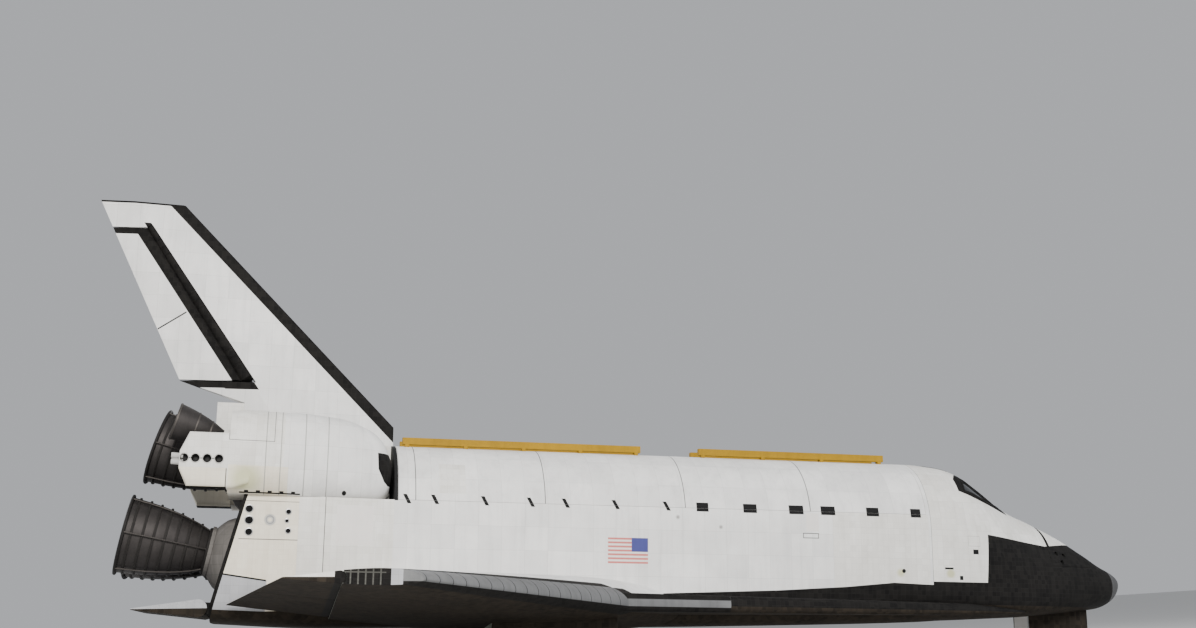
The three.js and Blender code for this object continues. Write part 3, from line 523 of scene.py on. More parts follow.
@dataclass
class Repeat:
    """Copies of a form in a row or round a line, laid out by Geometry Nodes."""

    name: str
    form: Form
    finish: Material
    count: int
    step: Point = (0, 0, 0)
    centre: Point = (0, 0, 0)
    axis: Point = (1, 0, 0)
    turn: float = 0.0

    @staticmethod
    def tree() -> Tree:
        """The node tree, built once, with named inputs.

        Returns:
            The tree.
        """
        found = bpy.data.node_groups.get("repeat_form")
        if found:
            return found
        tree = bpy.data.node_groups.new("repeat_form", "GeometryNodeTree")
        kinds = {
            "Geometry": "Geometry",
            "Count": "Int",
            "Step": "Vector",
            "Centre": "Vector",
            "Axis": "Vector",
            "Turn": "Float",
            "Finish": "Material",
        }
        for name, kind in kinds.items():
            tree.interface.new_socket(name=name, in_out="INPUT", socket_type=f"NodeSocket{kind}")
        tree.interface.new_socket(name="Geometry", in_out="OUTPUT", socket_type="NodeSocketGeometry")
        node, link = tree.nodes.new, tree.links.new
        first, last = node("NodeGroupInput"), node("NodeGroupOutput")
        index = node("GeometryNodeInputIndex").outputs[0]

        def scaled(vector: Socket, factor: Value) -> Socket:
            """A vector times a number.

            Args:
                vector: The vector.
                factor: The number.

            Returns:
                The product.
            """
            made = node("ShaderNodeVectorMath")
            made.operation = "SCALE"
            link(vector, made.inputs[0])
            if isinstance(factor, float):
                made.inputs["Scale"].default_value = factor
            else:
                link(factor, made.inputs["Scale"])
            return made.outputs[0]

        place = node("ShaderNodeVectorMath")
        link(scaled(first.outputs["Step"], index), place.inputs[0])
        link(first.outputs["Centre"], place.inputs[1])
        angle = node("ShaderNodeMath")
        angle.operation = "MULTIPLY"
        link(index, angle.inputs[0])
        link(first.outputs["Turn"], angle.inputs[1])
        turned = node("FunctionNodeAxisAngleToRotation")
        link(first.outputs["Axis"], turned.inputs["Axis"])
        link(angle.outputs[0], turned.inputs["Angle"])
        points = node("GeometryNodePoints")
        link(first.outputs["Count"], points.inputs["Count"])
        link(place.outputs[0], points.inputs["Position"])
        centred = node("GeometryNodeTransform")
        link(first.outputs["Geometry"], centred.inputs["Geometry"])
        link(scaled(first.outputs["Centre"], -1.0), centred.inputs["Translation"])
        copies = node("GeometryNodeInstanceOnPoints")
        link(points.outputs[0], copies.inputs["Points"])
        link(centred.outputs[0], copies.inputs["Instance"])
        link(turned.outputs[0], copies.inputs["Rotation"])
        real = node("GeometryNodeRealizeInstances")
        link(copies.outputs[0], real.inputs[0])
        painted = node("GeometryNodeSetMaterial")
        link(real.outputs[0], painted.inputs["Geometry"])
        link(first.outputs["Finish"], painted.inputs["Material"])
        link(painted.outputs[0], last.inputs["Geometry"])
        return tree

    def make(self, fitting: Fitting) -> Object:
        """The copies, as one finished piece.

        Args:
            fitting: How it joins the vehicle.

        Returns:
            The piece.
        """
        made = bare_object(self.name, self.form, [self.finish])
        change = made.modifiers.new("copies", "NODES")
        change.node_group = self.tree()
        values = {
            "Count": self.count,
            "Step": list(TO_ROW.to_3x3() @ Vector(self.step)),
            "Centre": list(to_row(self.centre)),
            "Axis": list(direction(self.axis)),
            "Turn": self.turn,
            "Finish": self.finish,
        }
        for item in change.node_group.interface.items_tree:
            if item.in_out == "INPUT" and item.name in values:
                change[item.identifier] = values[item.name]
        bpy.context.view_layer.update()
        plain_mesh(made)
        return settle(made, fitting)


# Materials.


class Mixed(Enum):
    """What a mix node mixes."""

    COLOUR = "Color"
    NUMBER = "Float"


class Graph:
    """Adds nodes to a tree and wires them."""

    def __init__(self, tree: Tree) -> None:
        """Starts on a tree."""
        self.tree = tree

    def node(self, kind: str, **settings: object) -> Node:
        """A new node with some of its settings.

        Args:
            kind: The node's type.
            settings: Its properties.

        Returns:
            The node.
        """
        made = self.tree.nodes.new(kind)
        for name, value in settings.items():
            setattr(made, name, value)
        return made

    def put(self, socket: Socket, value: Value) -> None:
        """Links or sets an input.

        Args:
            socket: The input.
            value: A socket, or what it is set to.
        """
        if isinstance(value, Socket):
            self.tree.links.new(value, socket)
        elif isinstance(value, (int, float)) and hasattr(socket.default_value, "__len__"):
            socket.default_value = [value] * len(socket.default_value)
        elif not isinstance(value, (int, float)) and len(socket.default_value) > len(value):
            socket.default_value = (*value, 1.0)
        else:
            socket.default_value = value

    def math(self, operation: str, *values: Value, clamp: bool = False) -> Socket:
        """A sum on numbers.

        Args:
            operation: The sum's name.
            values: The values or sockets.
            clamp: Whether it stays within 0 and 1.

        Returns:
            Its output.
        """
        made = self.node("ShaderNodeMath", operation=operation, use_clamp=clamp)
        for socket, value in zip(made.inputs, values):
            self.put(socket, value)
        return made.outputs[0]

    def vector(self, operation: str, *values: Value) -> Socket:
        """A sum on vectors.

        Args:
            operation: The sum's name.
            values: The values or sockets.

        Returns:
            Its output.
        """
        made = self.node("ShaderNodeVectorMath", operation=operation)
        for socket, value in zip(made.inputs, values):
            self.put(socket, value)
        return made.outputs[1 if operation == "LENGTH" else 0]

    def split(self, vector: Socket) -> list[Socket]:
        """A vector's three numbers.

        Args:
            vector: The vector.

        Returns:
            The three outputs.
        """
        made = self.node("ShaderNodeSeparateXYZ")
        self.put(made.inputs[0], vector)
        return list(made.outputs)

    def merge(self, x: Value, y: Value, z: Value) -> Socket:
        """A vector of three numbers.

        Args:
            x: The first number.
            y: The second number.
            z: The third number.

        Returns:
            Its output.
        """
        made = self.node("ShaderNodeCombineXYZ")
        for socket, value in zip(made.inputs, (x, y, z)):
            self.put(socket, value)
        return made.outputs[0]

    def mix(self, share: Value, first: Value, second: Value, kind: Mixed = Mixed.COLOUR) -> Socket:
        """A colour between two, or a number.

        Args:
            share: How much of the second.
            first: The first value.
            second: The second value.
            kind: What it mixes.

        Returns:
            Its output.
        """
        data_type = "RGBA" if kind is Mixed.COLOUR else "FLOAT"
        made = self.node("ShaderNodeMix", data_type=data_type, clamp_factor=True)
        ends = ((f"A_{kind.value}", first), (f"B_{kind.value}", second))
        for name, value in (("Factor_Float", share), *ends):
            self.put(next(s for s in made.inputs if s.identifier == name), value)
        return next(s for s in made.outputs if s.identifier == f"Result_{kind.value}")

    def blend(self, share: Value, first: Value, second: Value) -> Socket:
        """A number between two."""
        return self.mix(share, first, second, Mixed.NUMBER)

    def over(self, value: Socket, edge: Value, soft: float = 0.25) -> Socket:
        """1 where a number is over an edge, with a soft step."""
        gap = self.math("SUBTRACT", value, edge)
        return self.math("MULTIPLY_ADD", gap, 1 / soft, 0.5, clamp=True)

    def under(self, value: Socket, edge: Value, soft: float = 0.25) -> Socket:
        """1 where a number is under an edge."""
        return self.math("SUBTRACT", 1.0, self.over(value, edge, soft))

    def all(self, *shares: Socket) -> Socket:
        """Where every share holds."""
        return reduce(lambda one, other: self.math("MULTIPLY", one, other), shares)

    def any(self, *shares: Socket) -> Socket:
        """Where one of the shares holds."""
        return reduce(lambda one, other: self.math("MAXIMUM", one, other), shares)

    def noise(self, vector: Socket, scale: float, detail: float = 4.0, rough: float = 0.6) -> Socket:
        """Cloudy noise from 0 to 1.

        Args:
            vector: Where it is read.
            scale: Its scale.
            detail: Its layers.
            rough: Its roughness.

        Returns:
            Its output.
        """
        made = self.node("ShaderNodeTexNoise")
        self.put(made.inputs["Vector"], vector)
        for name, value in (("Scale", scale), ("Detail", detail), ("Roughness", rough)):
            made.inputs[name].default_value = value
        return made.outputs["Fac"]

    def use(self, group: Tree, **values: Value) -> Node:
        """Places a node group and sets its inputs.

        Args:
            group: The group.
            values: Its inputs by name.

        Returns:
            The node.
        """
        made = self.node("ShaderNodeGroup")
        made.node_tree = group
        for name, value in values.items():
            self.put(made.inputs[name], value)
        return made


class Shared:
    """The node groups that more than one finish uses, each built once."""

    made: dict[str, Tree] = {}

    @classmethod
    def build(
        cls,
        name: str,
        inputs: dict[str, tuple[str, float]],
        outputs: dict[str, str],
        wire: Callable[[Graph, Node, Node], None],
    ) -> Tree:
        """Builds a group with named sockets.

        Args:
            name: The group's name.
            inputs: Each input's kind and first value.
            outputs: Each output's kind.
            wire: What lays the nodes between them.

        Returns:
            The group.
        """
        if name in cls.made:
            return cls.made[name]
        tree = bpy.data.node_groups.new(name, "ShaderNodeTree")
        for socket, (kind, value) in inputs.items():
            made = tree.interface.new_socket(name=socket, in_out="INPUT", socket_type=f"NodeSocket{kind}")
            if kind == "Float":
                made.default_value = value
        for socket, kind in outputs.items():
            tree.interface.new_socket(name=socket, in_out="OUTPUT", socket_type=f"NodeSocket{kind}")
        graph = Graph(tree)
        wire(graph, graph.node("NodeGroupInput"), graph.node("NodeGroupOutput"))
        cls.made[name] = tree
        return tree

    @classmethod
    def station(cls) -> Tree:
        """Where a point of a piece is, in station inches.

        Returns:
            The tree.
        """

        def wire(graph: Graph, _: Node, last: Node) -> None:
            """Lays the nodes.

            Args:
                graph: The graph to add to.
                last: The group's outputs.
            """
            turn = graph.node("ShaderNodeMapping", vector_type="POINT")
            graph.put(turn.inputs["Vector"], graph.node("ShaderNodeTexCoord").outputs["Object"])
            turn.inputs["Location"].default_value = (REFERENCE_X, 0, GROUND_Z)
            turn.inputs["Rotation"].default_value = (0, -PITCH, math.pi)
            turn.inputs["Scale"].default_value = (1 / INCH,) * 3
            graph.put(last.inputs["Place"], turn.outputs[0])

        return cls.build("station_place", {}, {"Place": "Vector"}, wire)

    @classmethod
    def joints(cls) -> Tree:
        """A square pattern of tiles: each tile's own tone, and the joints between them.

        Returns:
            The tree.
        """

        def wire(graph: Graph, first: Node, last: Node) -> None:
            """Lays the nodes.

            Args:
                graph: The graph to add to.
                first: The group's inputs.
                last: The group's outputs.
            """
            turn = graph.node("ShaderNodeMapping", vector_type="POINT")
            graph.put(turn.inputs["Vector"], first.outputs["Place"])
            graph.put(turn.inputs["Rotation"], graph.merge(0.0, 0.0, first.outputs["Turn"]))
            cells = graph.vector("DIVIDE", turn.outputs[0], first.outputs["Size"])
            noise = graph.node("ShaderNodeTexWhiteNoise", noise_dimensions="3D")
            graph.put(noise.inputs["Vector"], graph.vector("FLOOR", cells))
            share = graph.vector("FRACTION", cells)
            edge = graph.vector("MINIMUM", share, graph.vector("SUBTRACT", (1, 1, 1), share))
            near = graph.vector(
                "DIVIDE", graph.vector("MULTIPLY", edge, first.outputs["Size"]), first.outputs["Width"]
            )
            line = graph.vector("MAXIMUM", graph.vector("SUBTRACT", (1, 1, 1), near), (0, 0, 0))
            facing = graph.node("ShaderNodeTexCoord").outputs["Normal"]
            square = graph.vector("MULTIPLY", facing, facing)
            across = graph.vector("SUBTRACT", (1, 1, 1), square)
            seen = graph.split(graph.vector("MULTIPLY", line, across))
            graph.put(last.inputs["Tone"], noise.outputs["Value"])
            graph.put(last.inputs["Joint"], graph.any(*seen))

        inputs = {"Place": ("Vector", 0), "Size": ("Float", 6), "Width": ("Float", 0.2), "Turn": ("Float", 0)}
        return cls.build("tile_joints", inputs, {"Tone": "Float", "Joint": "Float"}, wire)

    @classmethod
    def grime(cls) -> Tree:
        """Weathering: broad stains, and streaks that run down the sides.

        Returns:
            The tree.
        """

        def wire(graph: Graph, first: Node, last: Node) -> None:
            """Lays the nodes.

            Args:
                graph: The graph to add to.
                first: The group's inputs.
                last: The group's outputs.
            """
            place = first.outputs["Place"]
            broad = graph.noise(place, 0.02, 6, 0.62)
            streak = graph.noise(graph.vector("MULTIPLY", place, (1, 1, 0.07)), 0.11, 5, 0.65)
            fine = graph.noise(place, 0.7, 3, 0.6)
            stains = graph.math("MULTIPLY_ADD", broad, 2.4, -0.85, clamp=True)
            runs = graph.math("MULTIPLY_ADD", streak, 3.2, -1.45, clamp=True)
            total = graph.math("ADD", graph.math("MULTIPLY", stains, 0.6), graph.math("MULTIPLY", runs, 0.5))
            graph.put(
                last.inputs["Stain"], graph.math("MULTIPLY", total, first.outputs["Amount"], clamp=True)
            )
            graph.put(last.inputs["Fine"], fine)

        inputs = {"Place": ("Vector", 0), "Amount": ("Float", 1)}
        return cls.build("grime", inputs, {"Stain": "Float", "Fine": "Float"}, wire)

    @classmethod
    def wear(cls) -> Tree:
        """Where corners and handled places have lost their coat.

        Returns:
            The tree.
        """

        def wire(graph: Graph, first: Node, last: Node) -> None:
            """Lays the nodes.

            Args:
                graph: The graph to add to.
                first: The group's inputs.
                last: The group's outputs.
            """
            place = first.outputs["Place"]
            corner = graph.math(
                "MULTIPLY_ADD",
                graph.node("ShaderNodeNewGeometry").outputs["Pointiness"],
                9,
                -4.6,
                clamp=True,
            )
            cloud = graph.noise(place, 0.5, 6, 0.7)
            spots = graph.math("MULTIPLY_ADD", cloud, 5, -2.9, clamp=True)
            total = graph.math(
                "ADD", graph.math("MULTIPLY", corner, cloud), graph.math("MULTIPLY", spots, 0.35)
            )
            graph.put(last.inputs["Wear"], graph.math("MULTIPLY", total, first.outputs["Amount"], clamp=True))

        inputs = {"Place": ("Vector", 0), "Amount": ("Float", 1)}
        return cls.build("edge_wear", inputs, {"Wear": "Float"}, wire)


@dataclass
class Spot:
    """A point's place as sockets: station, distance from the centreline, height, and the signed side."""

    place: Socket
    x: Socket
    y: Socket
    z: Socket
    side: Socket


@dataclass
class Coat:
    """The sockets that one coat puts into a shader."""

    colour: Socket
    roughness: Socket
    height: Socket


Mask = Callable[[Graph, Spot], Socket]


@dataclass(frozen=True)
class Tiled:
    """Tiles or blankets laid in squares, with their joints, their own tones and dirt.

    Each tile's tone and the stains darken the colour toward the shade.
    """

    colour: Colour
    shade: Colour
    size: float = 6.0
    joint: float = 0.16
    turn: float = 0.0
    tone: float = 0.25
    dark: float = 0.5
    stain: float = 0.5
    roughness: float = 0.75
    panel: float = 0.0

    def coat(self, graph: Graph, spot: Spot) -> Coat:
        """The coat's sockets at a spot.

        Args:
            graph: The graph to add to.
            spot: The place to look at.

        Returns:
            The coat.
        """
        tiles = graph.use(
            Shared.joints(),
            Place=spot.place,
            Size=self.size,
            Width=self.joint,
            Turn=math.radians(self.turn),
        )
        dirt = graph.use(Shared.grime(), Place=spot.place, Amount=self.stain)
        toned = graph.mix(graph.math("MULTIPLY", tiles.outputs["Tone"], self.tone), self.colour, self.shade)
        if self.panel:
            wide = graph.use(Shared.joints(), Place=spot.place, Size=self.panel, Width=0.5, Turn=0.0)
            toned = graph.mix(graph.math("MULTIPLY", wide.outputs["Tone"], self.tone), toned, self.shade)
            toned = graph.mix(
                graph.math("MULTIPLY", wide.outputs["Joint"], self.dark * 0.8), toned, self.shade
            )
        stained = graph.mix(dirt.outputs["Stain"], toned, self.shade)
        jointed = graph.mix(
            graph.math("MULTIPLY", tiles.outputs["Joint"], self.dark), stained, (0.03, 0.03, 0.03)
        )
        rough = graph.math("MULTIPLY_ADD", dirt.outputs["Fine"], 0.16, self.roughness - 0.08)
        height = graph.math(
            "SUBTRACT", graph.math("MULTIPLY", tiles.outputs["Tone"], 0.15), tiles.outputs["Joint"]
        )
        return Coat(jointed, rough, height)


@dataclass(frozen=True)
class Painted:
    """Paint or bare material with cloudy tone, dirt and worn corners."""

    colour: Colour
    worn: Colour
    roughness: float = 0.5
    wear: float = 0.6
    stain: float = 0.4
    grain: float = 0.3

    def coat(self, graph: Graph, spot: Spot) -> Coat:
        """The coat's sockets at a spot.

        Args:
            graph: The graph to add to.
            spot: The place to look at.

        Returns:
            The coat.
        """
        dirt = graph.use(Shared.grime(), Place=spot.place, Amount=self.stain)
        wear = graph.use(Shared.wear(), Place=spot.place, Amount=self.wear)
        dim = tuple(c * 0.55 for c in self.colour)
        stained = graph.mix(dirt.outputs["Stain"], self.colour, dim)
        worn = graph.mix(wear.outputs["Wear"], stained, self.worn)
        rough = graph.math("MULTIPLY_ADD", dirt.outputs["Fine"], 0.2, self.roughness - 0.1)
        height = graph.math("MULTIPLY", dirt.outputs["Fine"], self.grain)
        return Coat(worn, rough, height)


BUMP_DEPTH = 0.004


@dataclass(frozen=True)
class Finish:
    """A material: a base coat, and other coats where their masks hold.

    Metal, glass, coat, sheen and shine are the same all over, so they are set on the shader's own sockets.
    """

    name: str
    base: Tiled | Painted
    layers: tuple[tuple[Tiled | Painted, Mask], ...] = ()
    metallic: float = 0.0
    transmission: float = 0.0
    coat: float = 0.0
    sheen: float = 0.0
    shine: float = 0.12
    bump: float = 0.35

    def material(self) -> Material:
        """The material, built once.

        Returns:
            The material.
        """
        found = bpy.data.materials.get(self.name)
        if found:
            return found
        made = bpy.data.materials.new(self.name)
        made.use_nodes = True
        made.diffuse_color = (*self.base.colour, 1)
        tree = made.node_tree
        tree.nodes.clear()
        graph = Graph(tree)
        place = graph.use(Shared.station()).outputs["Place"]
        x, y, z = graph.split(place)
        spot = Spot(place, x, graph.math("ABSOLUTE", y), z, y)
        coat = self.base.coat(graph, spot)
        for over, mask in self.layers:
            share = mask(graph, spot)
            top = over.coat(graph, spot)
            coat = Coat(
                graph.mix(share, coat.colour, top.colour),
                graph.blend(share, coat.roughness, top.roughness),
                graph.blend(share, coat.height, top.height),
            )
        shader = graph.node("ShaderNodeBsdfPrincipled")
        graph.put(shader.inputs["Base Color"], coat.colour)
        graph.put(shader.inputs["Roughness"], coat.roughness)
        for name, value in (
            ("Metallic", self.metallic),
            ("Transmission Weight", self.transmission),
            ("Coat Weight", self.coat),
            ("Sheen Weight", self.sheen),
            ("Specular IOR Level", self.shine),
        ):
            shader.inputs[name].default_value = value
        bump = graph.node("ShaderNodeBump")
        bump.inputs["Strength"].default_value = self.bump
        bump.inputs["Distance"].default_value = BUMP_DEPTH
        graph.put(bump.inputs["Height"], coat.height)
        graph.put(shader.inputs["Normal"], bump.outputs[0])
        graph.put(graph.node("ShaderNodeOutputMaterial").inputs["Surface"], shader.outputs[0])
        return made


# Masks, as functions of a spot.


def masking(build: Callable[..., Socket]) -> Callable[..., Mask]:
    """Turns what lays a mask's nodes into a function of its settings that gives the mask.

    Args:
        build: Takes a graph, a spot and the settings.

    Returns:
        The function of the settings.
    """

    def settings(*values: object, **named: object) -> Mask:
        """The mask with its settings."""
        return lambda graph, spot: build(graph, spot, *values, **named)

    return settings


class View(Enum):
    """A flat view of the vehicle, as the two axes that it shows."""

    SIDE = "xz"
    PLAN = "xy"


@masking
def polygon(
    graph: Graph, spot: Spot, outline: Sequence[Point], view: View = View.SIDE, soft: float = 0.3
) -> Socket:
    """Inside a convex outline in one view of the vehicle.

    Args:
        graph: The graph to add to.
        spot: The place to look at.
        outline: Its corners.
        view: The view.
        soft: The width of its edge.

    Returns:
        Its output.
    """
    u, v = (getattr(spot, axis) for axis in view.value)
    middle = np.mean(np.asarray(outline, float), axis=0)
    shares = []
    for start, end in zip(outline, [*outline[1:], outline[0]]):
        du, dv = end[0] - start[0], end[1] - start[1]
        length = math.hypot(du, dv)
        a, b = -dv / length, du / length
        c = -(a * start[0] + b * start[1])
        if a * middle[0] + b * middle[1] + c < 0:
            a, b, c = -a, -b, -c
        total = graph.math("MULTIPLY_ADD", u, a, graph.math("MULTIPLY_ADD", v, b, c))
        shares.append(graph.over(total, 0.0, soft))
    return graph.all(*shares)


def box(x0: float, x1: float, z0: float, z1: float, soft: float = 0.3) -> Mask:
    """A rectangle of the side view."""
    return polygon([(x0, z0), (x1, z0), (x1, z1), (x0, z1)], soft=soft)


@masking
def disc(
    graph: Graph, spot: Spot, u: float, v: float, radius: float, view: View = View.SIDE, soft: float = 0.3
) -> Socket:
    """Inside a circle in one view.

    Args:
        graph: The graph to add to.
        spot: The place to look at.
        u: The centre's first number in the view.
        v: Its second number.
        radius: Its radius.
        view: The view.
        soft: The width of its edge.

    Returns:
        Its output.
    """
    first, second = (getattr(spot, axis) for axis in view.value)
    across = graph.math("SUBTRACT", first, u)
    up = graph.math("SUBTRACT", second, v)
    reach = graph.math(
        "SQRT", graph.math("ADD", graph.math("MULTIPLY", across, across), graph.math("MULTIPLY", up, up))
    )
    return graph.under(reach, radius, soft)


@masking
def below_line(graph: Graph, spot: Spot, points: Sequence[Point]) -> Socket:
    """Under a line of straight runs through (station, height) points.

    Args:
        graph: The graph to add to.
        spot: The place to look at.
        points: The line's (station, height) points.

    Returns:
        Its output.
    """
    height: Value = points[0][1]
    for start, end in zip(points, points[1:]):
        slope = (end[1] - start[1]) / (end[0] - start[0])
        run = graph.math("SUBTRACT", spot.x, start[0])
        run = graph.math("MINIMUM", graph.math("MAXIMUM", run, 0.0), end[0] - start[0])
        height = graph.math("MULTIPLY_ADD", run, slope, height)
    return graph.under(spot.z, height, 0.3)


@masking
def where(graph: Graph, spot: Spot, axis: Axis, low: float, high: float, soft: float = 0.3) -> Socket:
    """Between two limits along one axis."""
    value = getattr(spot, axis.value)
    return graph.all(graph.over(value, low, soft), graph.under(value, high, soft))


@masking
def slanted(graph: Graph, spot: Spot, lean: float, origin: float, low: float, high: float) -> Socket:
    """Between two offsets from a line that leans aft as it rises, in the side view."""
    offset = graph.math("SUBTRACT", spot.x, graph.math("MULTIPLY_ADD", spot.z, lean, origin))
    return graph.all(graph.over(offset, low, 0.3), graph.under(offset, high, 0.3))


def both(*masks: Mask) -> Mask:
    """Where all masks hold."""
    return lambda graph, spot: graph.all(*(mask(graph, spot) for mask in masks))


def either(*masks: Mask) -> Mask:
    """Where any mask holds."""
    return lambda graph, spot: graph.any(*(mask(graph, spot) for mask in masks))


def outside(mask: Mask) -> Mask:
    """Where a mask doesn't hold."""
    return lambda graph, spot: graph.math("SUBTRACT", 1.0, mask(graph, spot))


@masking
def bands(graph: Graph, spot: Spot, axis: Axis, start: float, pitch: float, width: float) -> Socket:
    """Bands repeated along one axis."""
    share = graph.math("WRAP", getattr(spot, axis.value), start + pitch, start)
    return graph.under(share, start + width, 0.2)


@masking
def under(graph: Graph, spot: Spot, height: float) -> Socket:
    """Under a height."""
    return graph.under(spot.z, height)


@masking
def outboard(graph: Graph, spot: Spot, y: float) -> Socket:
    """Further out than a distance from the centreline."""
    return graph.over(spot.y, y)


@masking
def under_plane(graph: Graph, spot: Spot, fall: float, climb: float, level: float) -> Socket:
    """Under a plane that falls as it runs aft and climbs as it runs out."""
    plane = graph.math("MULTIPLY_ADD", spot.y, climb, level)
    return graph.under(graph.math("MULTIPLY_ADD", spot.x, fall, spot.z), plane, 0.3)


@masking
def slanted_plan(
    graph: Graph, spot: Spot, origin: float, low: float, high: float, lean: float = 1.0
) -> Socket:
    """Between two offsets from a line of the plan that runs aft as it runs out."""
    offset = graph.math("SUBTRACT", spot.x, graph.math("MULTIPLY_ADD", spot.y, lean, origin))
    return graph.all(graph.over(offset, low), graph.under(offset, high))


def frame_lines(x0: float, x1: float, z0: float, z1: float, width: float = 0.35) -> Mask:
    """The thin outline of a panel in the side view."""
    inner = box(x0 + width, x1 - width, z0 + width, z1 - width)
    return both(box(x0, x1, z0, z1), outside(inner))


@masking
def under_flap(graph: Graph, spot: Spot, hinge_x: float, hinge_z: float, rise: float) -> Socket:
    """Under the body flap's middle, a line from its hinge."""
    return graph.under(spot.z, graph.math("MULTIPLY_ADD", spot.x, rise, hinge_z - rise * hinge_x), 0.3)


# Finishes of the real surfaces.

WHITE_TILE = Tiled(
    (0.86, 0.85, 0.82), (0.53, 0.51, 0.46), size=8, joint=0.16, tone=0.24, dark=0.24, stain=0.6, panel=40
)
WHITE_BLANKET = Tiled(
    (0.88, 0.875, 0.86),
    (0.53, 0.53, 0.53),
    size=30,
    joint=0.35,
    tone=0.3,
    dark=0.24,
    stain=0.7,
    roughness=0.88,
)
CREAM_TILE = Tiled(
    (0.86, 0.81, 0.70), (0.60, 0.54, 0.42), size=6, joint=0.14, tone=0.2, dark=0.18, stain=0.6, panel=32
)
# Black tiles of the underside: their warm brown tint and lighter tone are painted light from the ground
# below; BLACK_SIDE is the darker copy of the same tiles, for the sides.
GROUND_LIT_BLACK_TILE = Tiled(
    (0.0105, 0.0085, 0.0066),
    (0.042, 0.033, 0.024),
    size=6,
    joint=0.17,
    turn=45,
    tone=0.5,
    dark=0.5,
    stain=0.6,
    roughness=0.8,
)
BLACK_SIDE = Tiled(
    (0.0036, 0.0034, 0.0034),
    (0.018, 0.0165, 0.015),
    size=6,
    joint=0.16,
    tone=0.5,
    dark=0.5,
    stain=0.45,
    roughness=0.75,
)
LIGHT_GREY = Tiled(
    (0.43, 0.435, 0.46), (0.28, 0.285, 0.30), size=10, joint=0.2, tone=0.3, dark=0.3, stain=0.6
)
RED_CLOTH = Painted((0.62, 0.20, 0.18), (0.7, 0.5, 0.48), roughness=0.8, wear=0.3, stain=0.3)
WHITE_CLOTH = Painted((0.80, 0.77, 0.74), (0.7, 0.68, 0.66), roughness=0.8, wear=0.3, stain=0.3)
BLUE_CLOTH = Painted((0.07, 0.075, 0.25), (0.2, 0.2, 0.4), roughness=0.8, wear=0.3, stain=0.3)
TICK = Painted((0.035, 0.035, 0.03), (0.3, 0.3, 0.28), roughness=0.8)
DARK_MARK = Painted((0.009, 0.009, 0.0095), (0.05, 0.05, 0.05), roughness=0.75)
SMUDGE = Painted((0.30, 0.295, 0.28), (0.6, 0.6, 0.58), roughness=0.85)
OLIVE = Painted((0.60, 0.59, 0.39), (0.7, 0.69, 0.55), roughness=0.85)


# Fuselage.


